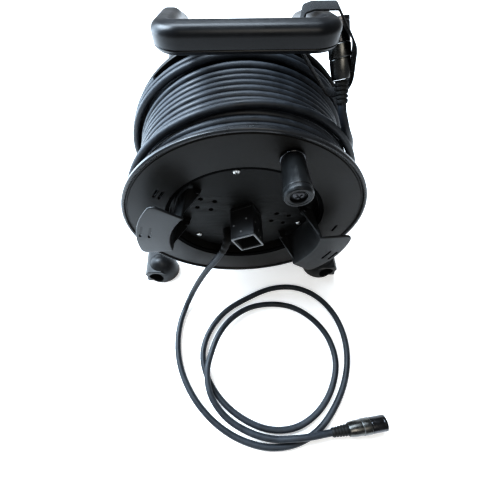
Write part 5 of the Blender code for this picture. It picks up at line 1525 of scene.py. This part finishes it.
@dataclass
class Plug:
    """A round data plug: tapered ribbed boot, body with a pale ring, open barrel and contact block."""

    name: str
    body: Body
    base: Vector
    direction: Vector
    boot: float = 0.024
    shell: float = 0.033
    ring: float = 0.0206
    barrel: float = 0.022

    def build(self) -> list[Piece]:
        """Builds and dresses the plug's four pieces.

        Returns:
            The pieces.
        """
        axis = self.direction.normalized()
        frame = aimed(self.base, axis)
        boot = [(0.0, 0.0), (0.0056, 0.0), (0.0058, 0.0010)]
        for index in range(5):
            start = 0.0016 + index * 0.0043
            reach = 0.0063 + 0.0003 * index
            boot += [(reach, start), (reach, start + 0.0026)]
            boot += [(reach * 0.84, start + 0.0030), (reach * 0.84, start + 0.0040)]
        boot += [(0.0078, self.boot - 0.0008), (0.0078, self.boot), (0.0, self.boot)]
        made = [turn_skin(self.name + "_boot", boot, frame, 40, 0.0004, RUBBER, self.body)]
        start = self.boot + GAP
        end = start + self.shell
        shell = [(0.0, 0.0), (0.0090, 0.0), (0.0098, 0.0035), (0.0104, 0.010), (0.0106, 0.0185), (0.0103, 0.0192)]
        shell += [(0.0103, 0.0200), (PLUG_RADIUS, self.ring)]
        shell = [(radius, start + depth) for radius, depth in shell]
        shell += [(PLUG_RADIUS, end - 0.0010), (0.0105, end), (0.0, end)]
        piece = turned(self.name + "_body_skin", shell, frame, 56, 0.0005)
        for finish in (PLUG_METAL, GREY_FRAME):
            piece.data.materials.append(finish.material())
        back = frame.inverted()
        for face in piece.data.polygons:
            if 0.0 < (back @ face.center).y - start - self.ring < 0.0050:
                face.material_index = 1
        made.append(dress(piece, None, self.body, self.name + "_body"))
        start = end + GAP
        end = start + self.barrel
        barrel = [(0.0, start), (0.0106, start), (0.0108, start + 0.0006)]
        lip = ((0.0108, 0.0050), (0.0105, 0.0046), (0.0105, 0.0040), (0.0108, 0.0036), (0.0108, 0.0), (0.0096, 0.0))
        barrel += [(radius, end - depth) for radius, depth in lip]
        barrel += [(0.0095, start + 0.003), (0.0, start + 0.003)]
        made.append(turn_skin(self.name + "_barrel", barrel, frame, 56, 0.0004, BLACK_NICKEL, self.body))
        block = box_piece("block", (-0.00585, start + 0.0033, -0.00425), (0.00585, end - 0.003, 0.00425), frame, 0.0004)
        block.data.materials.append(CLEAR_BLOCK.material())
        blade = box_piece("blade", (-0.0002, -0.003, -0.0004), (0.0002, 0.003, 0.0004))
        spots = [frame @ Vector((FIRST_CONTACT + CONTACT_PITCH * i, end - 0.0064, 0.0041)) for i in range(8)]
        blades = Recipes.scatter("blades", blade, spots, axis, GOLD, 1, 0.0)
        piece = merge(self.name + "_insert_skin", [block, blades], 0.0)
        made.append(dress(piece, None, self.body, self.name + "_insert"))
        return made


LEAD_STOPS = (
    (-225, 97, 1450), (-225, 2, 1450), (-250, -80, 1415), (-320, -155, 1290), (-440, -195, 1070),
    (-590, -235, 800), (-740, -300, 500), (-880, -410, 230), (-990, -580, 75), (-1065, -810, 48),
    (-1095, -1100, 48), (-1060, -1420, 48), (-945, -1740, 48), (-740, -2060, 48), (-450, -2340, 48),
    (-100, -2540, 48), (300, -2640, 48), (700, -2600, 48), (1060, -2420, 48), (1390, -2060, 48),
    (1600, -1640, 48), (1660, -1200, 48), (1560, -780, 48), (1310, -450, 48), (950, -270, 48),
    (530, -270, 48), (100, -430, 48), (-300, -660, 48), (-570, -980, 48), (-680, -1340, 48),
    (-600, -1700, 48), (-390, -2020, 48), (-80, -2270, 48), (300, -2420, 48), (690, -2410, 48),
    (1040, -2230, 48), (1300, -1930, 48), (1440, -1550, 48), (1390, -1170, 48), (1190, -860, 48),
    (890, -640, 48), (540, -560, 50), (150, -610, 90), (-170, -780, 120), (-400, -1040, 150),
    (-540, -1360, 160), (-600, -1640, 155), (-540, -1960, 150), (-320, -2250, 100), (20, -2450, 85),
    (360, -2540, 110), (700, -2540, 152), (900, -2525, 152), (1080, -2502, 126), (1180, -2490, 126),
)
LEAD_ROUTE = tuple((x / 10000, y / 10000, z / 10000) for x, y, z in LEAD_STOPS)


@dataclass
class PatchLead:
    """The lead from the plate down to the floor, through its two loops and into its plug."""

    route: tuple[Point, ...] = LEAD_ROUTE

    def path(self, spacing: float) -> list[Vector]:
        """Returns the lead's middle line at a spacing, with straight ends."""
        inner = smooth_curve(self.route[1:-1], spacing)
        return [on_stand(*point) for point in (self.route[0], *inner, self.route[-1])]

    def build(self) -> None:
        path = self.path(CORD_SPACING)
        cable = Recipes.cable("patch_lead_cable", path, CABLE_RADIUS, 20, JACKET_PAINTED_SHEEN)
        dress(cable, None, Body.DRUM, "patch_lead")
        direction = Vector(self.route[-1]) - Vector(self.route[-2])
        direction.z = 0.0
        base = on_stand(*self.route[-1]) + direction.normalized() * GAP
        pieces = Plug("lead_plug", Body.DRUM, base, direction).build()
        self.relief(path)

    def relief(self, path: Sequence[Vector]) -> None:
        """Builds the tapered, ribbed rubber strain relief round the lead's first stretch.

        Args:
            path: The lead's middle line.
        """

        def section(share: float) -> list[Flat]:
            """Returns the relief's outline at a share of its length.

            Args:
                share: Nought at the hub, one at the free end.
            """
            reach = 0.0067 - 0.0014 * smooth_step(share * 1.1)
            reach += 0.0004 * math.sin(share * math.pi * 9.0) * (0.2 + 0.8 * share)
            return circle(reach, 28)

        fine = smooth_curve([path[0] + BACKWARDS * 0.0027, *path[:8]], 0.0007)
        piece = swept("lead_strain_relief", fine, section, level_with=Vector((1.0, 0.0, 0.0)))
        dress(piece, RUBBER, Body.DRUM, "lead_grommet")


@dataclass
class TailLead:
    """The outer end of the wound cable, up to the plug that is strapped to the handle."""

    plug_base: Vector = field(default_factory=lambda: on_stand(0.1065, 0.0660, 0.3158))
    plug_tip: Vector = field(default_factory=lambda: on_stand(0.0940, 0.1120, 0.3768))

    def path(self, spacing: float) -> list[Vector]:
        """Returns the tail's middle line at a spacing.

        Args:
            spacing: Distance between its points.
        """
        winding = Winding()
        before, end = winding.points(24, 0.0)[-2:]
        onwards = (end - before).normalized()
        route = [end + onwards * GAP, end + onwards * (GAP + CABLE_DIAMETER)]
        start, stop = math.radians(205.0), math.radians(383.0)
        for step in range(9):
            share = step / 8
            radius = winding.layer + winding.crossing + 0.001 * smooth_step(share * 4)
            route.append(on_drum(radius, start + (stop - start) * share, 0.029 + (0.070 - 0.029) * share))
        route += [on_stand(0.1275, 0.0600, 0.2700), on_stand(0.1165, 0.0550, 0.2900)]
        axis = (self.plug_tip - self.plug_base).normalized()
        route += [self.plug_base - axis * CABLE_DIAMETER, self.plug_base - axis * GAP]
        return [route[0], *smooth_curve(route[1:-1], spacing), route[-1]]

    def build(self) -> None:
        path = self.path(CORD_SPACING)
        cable = Recipes.cable("tail_cable_skin", path, CABLE_RADIUS, 20, JACKET_PAINTED_SHEEN)
        dress(cable, None, Body.STAND, "tail_cable")
        pieces = Plug("tail_plug", Body.STAND, self.plug_base, self.plug_tip - self.plug_base).build()


@dataclass
class StandFrame:
    """The two bent tubes, their shoes and sleeves, the cross plate and its bolts."""

    spread: float = 0.1525
    wall: float = 0.0015
    bend: float = 0.055
    front_height: float = 0.0155
    rear_height: float = 0.0175
    top_spread: float = 0.071
    top_height: float = 0.322
    seat: float = 0.012
    shoe_front: float = -0.002
    shoe_back: float = 0.042
    shoe_height: float = 0.033
    shoe_half: float = 0.0195
    sleeve_start: float = 0.094
    sleeve_end: float = 0.124
    bolt_rise: float = 0.022

    def upright_x(self, height: float) -> float:
        """Returns how far out the sloping uprights are at a height."""
        share = (height - self.rear_height) / (self.top_height - self.rear_height)
        return self.spread + (self.top_spread - self.spread) * share

    def build(self) -> None:
        """Builds and dresses the stand."""
        for side in Side:
            seat = on_stand(side.value * self.spread, self.seat, self.front_height)
            rear = on_stand(side.value * self.spread, SETBACK, self.rear_height)
            top = on_stand(side.value * self.top_spread, SETBACK, self.top_height)
            self.leg(side, [seat, rear, top])
            self.shoe(side, seat, rear)
            self.sleeve(side, seat, rear)
            self.socket(side, top, rear)
        self.cross_plate()

    def leg(self, side: Side, corners: Sequence[Vector]) -> None:
        """Builds one bent tube, open at its front end.

        Args:
            side: Which side it is on.
            corners: Its seat, its rear corner and its top.
        """
        path = bent_path(corners, self.bend, 28)
        fine: list[Vector] = []
        for first, second in zip(path, path[1:]):
            pieces = max(1, round((second - first).length / 0.012))
            fine += [first.lerp(second, step / pieces) for step in range(pieces)]
        fine.append(path[-1])
        node = f"stand_tube_{side.word}"
        outer = Recipes.cable(node + "_skin", fine, TUBE_RADIUS, 40, TUBE_COAT)
        along = (corners[1] - corners[0]).normalized()
        bore = rod_piece("bore", TUBE_RADIUS - self.wall, corners[0] - along * 0.004, corners[0] + along * 0.05, 40)
        dress(carve(outer, [bore]), TUBE_COAT, Body.STAND, node)

    def shoe(self, side: Side, seat: Vector, rear: Vector) -> None:
        """Builds one moulded shoe: a block with a round bore, blended into a rounded shoulder.

        Args:
            side: Which side it is on.
            seat: The tube's front end.
            rear: The tube's rear corner.
        """
        half, top = self.shoe_half, self.shoe_height
        centre = on_stand(side.value * self.spread, 0.0, 0.0)
        middle = BACKWARDS * ((self.shoe_front + self.shoe_back) / 2)
        right = [(half, 0.0), (half * 0.86, top * 0.45), (half * 0.92, top * 0.72), (half * 0.60, top)]
        outline = rounded_profile([(-half, 0.0), *right, *((-x, y) for x, y in reversed(right[1:]))], 0.002)
        frame = Matrix.Translation(centre + middle) @ FACING_FRONT
        block = plate_piece("shoe_block", outline, self.shoe_back - self.shoe_front, frame, (), 0.0008)
        bm = bmesh.new()
        bmesh.ops.create_uvsphere(bm, u_segments=48, v_segments=32, radius=1.0)
        bmesh.ops.scale(bm, vec=Vector((0.0282, 0.025, 0.044)), verts=bm.verts)
        dome = piece_of("shoe_dome", bm, Matrix.Translation(centre + Vector((-side.value * 0.009, 0.018, 0.0))))
        shoe = carve(block, [dome], "UNION")
        remesh = shoe.modifiers.new("Remesh", "REMESH")
        remesh.mode = "VOXEL"
        remesh.voxel_size = 0.0007
        smooth = shoe.modifiers.new("Smooth", "SMOOTH")
        smooth.factor = 0.5
        smooth.iterations = 5
        shoe = settle(shoe, 60.0)
        end = seat - BACKWARDS * GAP
        slope = (rear - end).normalized()
        bore = rod_piece("bore", TUBE_RADIUS + 0.0002, end - slope * 0.03, end + slope * 0.06, 48)
        below = box_piece("below", centre + Vector((-0.08, -0.08, -0.08)), centre + Vector((0.08, 0.08, 0.0002)))
        shoe = carve(shoe, [bore, below])
        shoe.name = f"front_foot_{side.word}_skin"
        dress(shoe, FOOT_PLASTIC, Body.STAND, f"front_foot_{side.word}")

    def sleeve(self, side: Side, seat: Vector, rear: Vector) -> None:
        """Builds one rubber sleeve with its flat sole and end beads.

        Args:
            side: Which side it is on.
            seat: The tube's front end.
            rear: The tube's rear corner.
        """
        spots = []
        for depth in (self.sleeve_start, self.sleeve_end):
            spots.append(seat.lerp(rear, (depth - self.seat) / (SETBACK - self.seat)))
        first, last = spots
        length = (last - first).length
        profile = [(0.0127, 0.0), (0.0170, 0.0), (0.0180, 0.0012), (0.0180, 0.004), (0.0174, 0.0046)]
        profile += [(radius, length - depth) for radius, depth in reversed(profile)]
        frame = aimed(first, (last - first).normalized())
        sleeve = turned(f"rear_foot_{side.word}_skin", profile, frame, 56, 0.0004)
        below = box_piece("below", first + Vector((-0.04, -0.04, -0.06)), (first.x + 0.04, first.y + 0.08, 0.0002))
        dress(carve(sleeve, [below]), RUBBER, Body.STAND, f"rear_foot_{side.word}")

    def socket(self, side: Side, top: Vector, rear: Vector) -> None:
        """Builds one moulded cap over the top of an upright.

        Args:
            side: Which side it is on.
            top: The upright's top.
            rear: The upright's foot.
        """
        profile = [(0.0, -0.02), (0.016, -0.02), (0.016, 0.026), (0.0154, 0.0268), (0.0160, 0.0276)]
        profile += [(0.0158, 0.030), (0.0127, 0.030), (0.0127, 0.0002), (0.0, 0.0002)]
        node = f"handle_socket_{side.word}"
        cap = turned(node + "_skin", profile, aimed(top, (rear - top).normalized()), 48, 0.0005)
        above = box_piece("above", top + Vector((-0.05, -0.05, 0.003 + GAP)), top + Vector((0.05, 0.05, 0.05)))
        dress(carve(cap, [above]), HANDLE_PLASTIC, Body.STAND, node)

    def cross_plate(self) -> None:
        """Builds the pressed plate across the uprights, and its bolts."""
        low, high = AXIS_HEIGHT - 0.035, AXIS_HEIGHT + 0.035
        low_x, high_x = self.upright_x(low) + 0.016, self.upright_x(high) + 0.016
        depth = SETBACK - TUBE_RADIUS - GAP - CROSS_PLATE
        outline = rounded_profile([(-low_x, low), (low_x, low), (high_x, high), (-high_x, high)], 0.006, 6)
        frame = Matrix.Translation((0, depth + CROSS_PLATE / 2 + FRONT_Y, 0)) @ FACING_FRONT
        levels = {"lower": AXIS_HEIGHT - self.bolt_rise, "upper": AXIS_HEIGHT + self.bolt_rise}
        holes = [circle(AXLE_HOLE, 32, 0.0, AXIS_HEIGHT)]
        for way in (-1, 1):
            holes += [circle(0.0033, 20, way * self.upright_x(level), level) for level in levels.values()]
        plate = plate_piece("cross_plate_skin", outline, CROSS_PLATE, frame, holes, 0.0006)
        dress(plate, TUBE_COAT, Body.STAND, "cross_plate")
        back = SETBACK + TUBE_RADIUS + GAP
        profile = [(0.0, depth), (0.0030, depth), (0.0030, back), (0.0, back)]
        for side in Side:
            for end, level in levels.items():
                spot = on_stand(side.value * self.upright_x(level), 0.0, level)
                shank = turned("shank", profile, spot, 24)
                frame = Matrix.Translation(spot + BACKWARDS * (back + 0.002)) @ FACING_FRONT
                head = plate_piece("head", circle(0.0058, 6), 0.004, frame, (), 0.0005)
                node = f"cross_bolt_{side.word}_{end}"
                dress(merge(node + "_skin", [shank, head], 0.0), ZINC, Body.STAND, node)


@dataclass
class Handle:
    """The carrying handle: two half shells with a parting line, its screws and the plug strap."""

    half_width: float = 0.071
    grip_setback: float = 0.048
    grip_height: float = 0.396
    shoulder_setback: float = 0.118
    shoulder_height: float = 0.3745
    seat_height: float = 0.3256
    neck_height: float = 0.339
    section_width: float = 0.021
    section_height: float = 0.024
    corner: float = 0.016
    edge: float = 0.0078
    parting: float = -0.0055
    chamfer: float = 0.0006
    screw_x: float = 0.048
    strap_setback: float = 0.089
    strap_width: float = 0.016
    strap_thickness: float = 0.0018

    def path(self) -> list[Vector]:
        """Returns the handle's middle line from the left socket to the right one."""
        half = [(SETBACK, self.seat_height), (SETBACK - GAP, self.neck_height)]
        half += [(self.shoulder_setback, self.shoulder_height), (self.grip_setback, self.grip_height)]
        corners = [on_stand(-self.half_width, *point) for point in half]
        corners += [on_stand(self.half_width, *point) for point in reversed(half)]
        return bent_path(corners, self.corner, 12)

    def half_section(self, sign: int) -> list[Flat]:
        """Returns the outline of one shell, with a small chamfer at the parting line.

        Args:
            sign: 1 for the upper shell, -1 for the lower one.
        """
        wide, tall = self.section_width / 2, self.section_height / 2
        seam = self.parting + sign * GAP / 2

        def reach(height: float) -> float:
            """Returns the section's half width at a height."""
            over = max(0.0, abs(height) - (tall - self.edge))
            return wide - self.edge + math.sqrt(self.edge**2 - over**2)

        outer = rounded_rectangle(wide, tall, self.edge, 10)
        kept = [(x, y) for x, y in outer if (y - seam) * sign > self.chamfer + 0.0002]
        kept.sort(key=lambda point: math.atan2((point[1] - seam) * sign, point[0] * sign))
        lip = (reach(seam + sign * self.chamfer) * sign, seam + sign * self.chamfer)
        tip = ((reach(seam) - self.chamfer) * sign, seam)
        return [tip, lip, *kept, (-lip[0], lip[1]), (-tip[0], tip[1])]

    def build(self) -> None:
        """Builds and dresses the shells, screws and strap."""
        bottom = self.grip_height - self.section_height / 2
        spots = {side: on_stand(side.value * self.screw_x, self.grip_setback, bottom) for side in Side}
        for name, sign in (("upper", 1), ("lower", -1)):
            outline = self.half_section(sign)
            shell = swept(f"handle_{name}_shell_skin", self.path(), lambda share, o=outline: o)
            if sign < 0:
                ends = [(spot - UPWARDS * 0.002, spot + UPWARDS * 0.0023) for spot in spots.values()]
                shell = carve(shell, [rod_piece("pocket", 0.0035, low, high, 24) for low, high in ends])
            dress(shell, HANDLE_PLASTIC, Body.STAND, f"handle_{name}_shell")
        for side, spot in spots.items():
            head = pan_head_screw(0.0032, 0.002)
            node = f"handle_screw_{side.word}"
            place = [spot + UPWARDS * 0.002]
            dress(Recipes.scatter(node + "_skin", head, place, UPWARDS, ZINC, side.value + 5), None, Body.STAND, node)
        self.strap()

    def strapped_points(self) -> list[Flat]:
        """Returns the edges of the arm and of the plug that the strap goes round, as x and height."""
        tail = TailLead()
        base = tail.plug_base - Vector((0, FRONT_Y, 0))
        axis = (tail.plug_tip - tail.plug_base).normalized()
        side = axis.cross(UPWARDS).normalized()
        upright = side.cross(axis)
        wide, tall = self.section_width / 2, self.section_height / 2 + 0.0006
        points = []
        for way in (-1, 1):
            depth = self.strap_setback + way * self.strap_width / 2
            share = (depth - self.grip_setback) / (self.shoulder_setback - self.grip_setback)
            height = self.grip_height + (self.shoulder_height - self.grip_height) * share
            points += [(self.half_width + x, height + y) for x in (-wide, wide) for y in (-tall, tall)]
            for step in range(48):
                angle = math.pi * step / 24
                edge = (side * math.cos(angle) + upright * math.sin(angle)) * PLUG_RADIUS
                point = base + edge + axis * ((depth - base.y - edge.y) / axis.y)
                points.append((point.x, point.z))
        return points

    def strap(self) -> None:
        """Builds the hook-and-loop strap: a belt round the right arm and the plug, slack on its inner side."""
        offset = 0.0008 + self.strap_thickness / 2
        swollen = []
        for x, height in self.strapped_points():
            for slack_x, slack_height in ((0.0, 0.0), (-0.006, -0.002)):
                swollen += circle(offset, 24, x + slack_x, height + slack_height)
        ring = [swollen[index] for index in convex_hull_2d(swollen)]
        ring.append(ring[0])
        knots = np.array(ring)
        along = np.concatenate([[0.0], np.cumsum(np.linalg.norm(np.diff(knots, axis=0), axis=1))])
        marks = np.linspace(0.0, along[-1], round(along[-1] / 0.0015), endpoint=False)
        columns = [np.interp(marks, along, knots[:, axis]) for axis in (0, 1)]
        path = [on_stand(x, self.strap_setback, height) for x, height in zip(*columns)]
        outline = rounded_rectangle(self.strap_thickness / 2, self.strap_width / 2, 0.0007, 2)
        band = swept("handle_strap_band", path, lambda share: outline, True, BACKWARDS)
        dress(band, WEBBING, Body.STAND, "handle_strap")


@dataclass
class Underpinnings:
    """What is seen only from behind or through gaps: core, bushes, posts, axle, nut and clip."""

    width: float = DRUM_WIDTH
    hub_length: float = 0.040
    washer: float = 0.0015

    def build(self) -> None:
        """Builds and dresses the turned metal and nylon pieces."""
        width, hub_front = self.width, self.width - self.hub_length
        core = [(0.0973, 0.0043), (0.0998, 0.0043), (0.0998, 0.1537), (0.0973, 0.1537)]
        turn_skin("drum_core", core, HUB, 96, 0.0, FLANGE_PLASTIC, Body.DRUM)
        for name, face, inwards in (("front", hub_front, 1), ("rear", width, -1)):
            seat = face - inwards * GAP
            outer, inner = seat - inwards * self.washer, seat + inwards * 0.015
            profile = [(0.0107, outer), (0.0171, outer), (0.0171, seat)]
            profile += [(0.0141, seat), (0.0141, inner), (0.0107, inner)]
            turn_skin(f"hub_bush_{name}", profile, HUB, 56, 0.0003, NYLON, Body.DRUM)
        depth = SETBACK - TUBE_RADIUS - GAP - CROSS_PLATE
        start, nut_front = width + 0.0006 + self.washer - 0.052, depth + CROSS_PLATE + GAP
        axle = [(0.0, start), (0.010, start), (0.010, width + 0.0027), (0.016, width + 0.0027), (0.016, depth - GAP)]
        axle += [(0.008, depth - GAP), (0.008, nut_front + 0.010), (0.0, nut_front + 0.010)]
        turn_skin("axle", axle, HUB, 56, 0.0006, ZINC, Body.STAND)
        frame = Matrix.Translation(on_drum(0, 0, nut_front + 0.004)) @ FACING_FRONT
        nut = plate_piece("axle_nut_skin", circle(0.0135, 6), 0.008, frame, [circle(AXLE_HOLE, 40)], 0.0008)
        dress(nut, ZINC, Body.STAND, "axle_nut")
        back = hub_front - 0.0006 - self.washer - 0.0006
        clip = [(0.0103, back - 0.0015), (0.014, back - 0.0015), (0.014, back), (0.0103, back)]
        turn_skin("axle_clip", clip, HUB, 48, 0.0003, ZINC, Body.STAND)
        rear = width + GAP
        post = [(0.0, 0.0276), (0.0023, 0.0276), (0.0023, 0.0196), (0.006, 0.0196), (0.006, 0.1537), (0.002, 0.1537)]
        post += [(0.002, rear), (0.0043, rear), (0.0036, rear + 0.0018)]
        post += [(0.0020, rear + 0.0023), (0.0, rear + 0.0023)]
        for number, angle in enumerate(SCREW_ANGLES, 1):
            turn_skin(f"tie_post_{number}", post, on_drum(SCREW_CIRCLE, angle), 32, 0.0003, ZINC, Body.DRUM)


@dataclass
class Studio:
    """The floor, the soft lights and the camera at the photograph's angle."""

    eye: Point = (-0.0190, -0.2257, 0.3505)
    yaw: float = math.radians(2.6)
    pitch: float = math.radians(60.1)
    roll: float = math.radians(0.7)
    focal: float = 314.0
    middle: Flat = (237.3, 237.2)

    def camera(self) -> None:
        """Sets the camera from the photograph's own viewpoint."""
        data = bpy.data.cameras.new("photo_camera")
        data.sensor_width = 36.0
        data.lens = self.focal * 36.0 / 500.0
        data.shift_x = (250.0 - self.middle[0]) / 500.0
        data.shift_y = (self.middle[1] - 250.0) / 500.0
        data.clip_start = 0.01
        camera = link("photo_camera", data)
        level = math.cos(self.pitch)
        ahead = Vector((math.sin(self.yaw) * level, math.cos(self.yaw) * level, -math.sin(self.pitch)))
        right = Vector((math.cos(self.yaw), -math.sin(self.yaw), 0.0))
        up = right.cross(ahead)
        leaned_right = right * math.cos(self.roll) + up * math.sin(self.roll)
        leaned_up = -right * math.sin(self.roll) + up * math.cos(self.roll)
        rotation = Matrix((leaned_right, leaned_up, -ahead)).transposed().to_4x4()
        x, y, z = self.eye
        camera.matrix_world = Matrix.Translation((x, y + FRONT_Y, z + AXIS_HEIGHT)) @ rotation
        bpy.context.scene.camera = camera

    def floor(self) -> None:
        """Lays the pale floor."""
        bm = bmesh.new()
        bmesh.ops.create_grid(bm, x_segments=1, y_segments=1, size=6.0)
        obj = piece_of("studio_floor", bm, Matrix.Translation((0, 0, -0.0002)))
        material = bpy.data.materials.new("pale floor")
        material.use_nodes = True
        inputs = {"Base Color": (0.97, 0.97, 0.97, 1.0), "Roughness": 0.9, "Specular IOR Level": 0.1}
        inputs |= {"Emission Color": (1.0, 1.0, 1.0, 1.0), "Emission Strength": 0.30}
        Shaders.feed(material.node_tree.nodes["Principled BSDF"], inputs)
        obj.data.materials.append(material)

    @staticmethod
    def light(name: str, place: Point, target: Point, size: float, power: float, color: Color) -> None:
        """Adds one square soft light.

        Args:
            name: Its name.
            place: Where it hangs.
            target: What it points at.
            size: Edge length.
            power: Watts.
            color: Its tint.
        """
        data = bpy.data.lights.new(name, "AREA")
        data.shape = "SQUARE"
        data.size = size
        data.energy = power
        data.color = color
        light = link(name, data)
        direction = Vector(target) - Vector(place)
        light.matrix_world = Matrix.Translation(place) @ direction.to_track_quat("-Z", "Y").to_matrix().to_4x4()

    def build(self) -> None:
        """Builds the whole set."""
        self.camera()
        self.floor()
        world = bpy.data.worlds.new("soft room")
        bpy.context.scene.world = world
        bpy.context.scene.view_settings.view_transform = "Standard"
        bpy.context.scene.view_settings.look = "High Contrast"
        world.use_nodes = True
        sight = Shaders.adder(world.node_tree)("ShaderNodeLightPath").outputs["Is Camera Ray"]
        wall = Shaders.adder(world.node_tree)("ShaderNodeMapRange", {0: sight, 1: 0.0, 2: 1.0, 3: 0.20, 4: 0.85})
        room = {"Color": (0.90, 0.95, 1.0, 1.0), "Strength": wall.outputs[0]}
        Shaders.feed(world.node_tree.nodes["Background"], room)
        self.light("key", (-0.80, 0.30, 1.15), (0.0, 0.0, 0.2), 0.7, 34.0, (0.76, 0.88, 1.0))
        self.light("window", (-1.20, 0.45, 0.45), (0.0, 0.0, 0.22), 0.9, 15.0, (0.70, 0.85, 1.0))
        self.light("sky", (-0.10, 0.85, 1.55), (0.0, 0.05, 0.2), 0.9, 20.0, (0.80, 0.90, 1.0))
        self.light("front_fill", (0.25, -1.0, 1.6), (0.0, -0.1, 0.1), 0.8, 6.0, (1.0, 0.94, 0.84))


def main() -> None:
    """Builds every class in order around the frame."""
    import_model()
    Studio().build()
    cords = (PatchLead(), TailLead(), Winding())
    drum = (FrontFlange(), RearFlange(), ConnectorPlate(), Coupler(), WindingHooks(), CrankKnob())
    for assembly in (*cords, *drum, StandFrame(), Handle(), Underpinnings()):
        assembly.build()


if __name__ == "__main__":
    main()
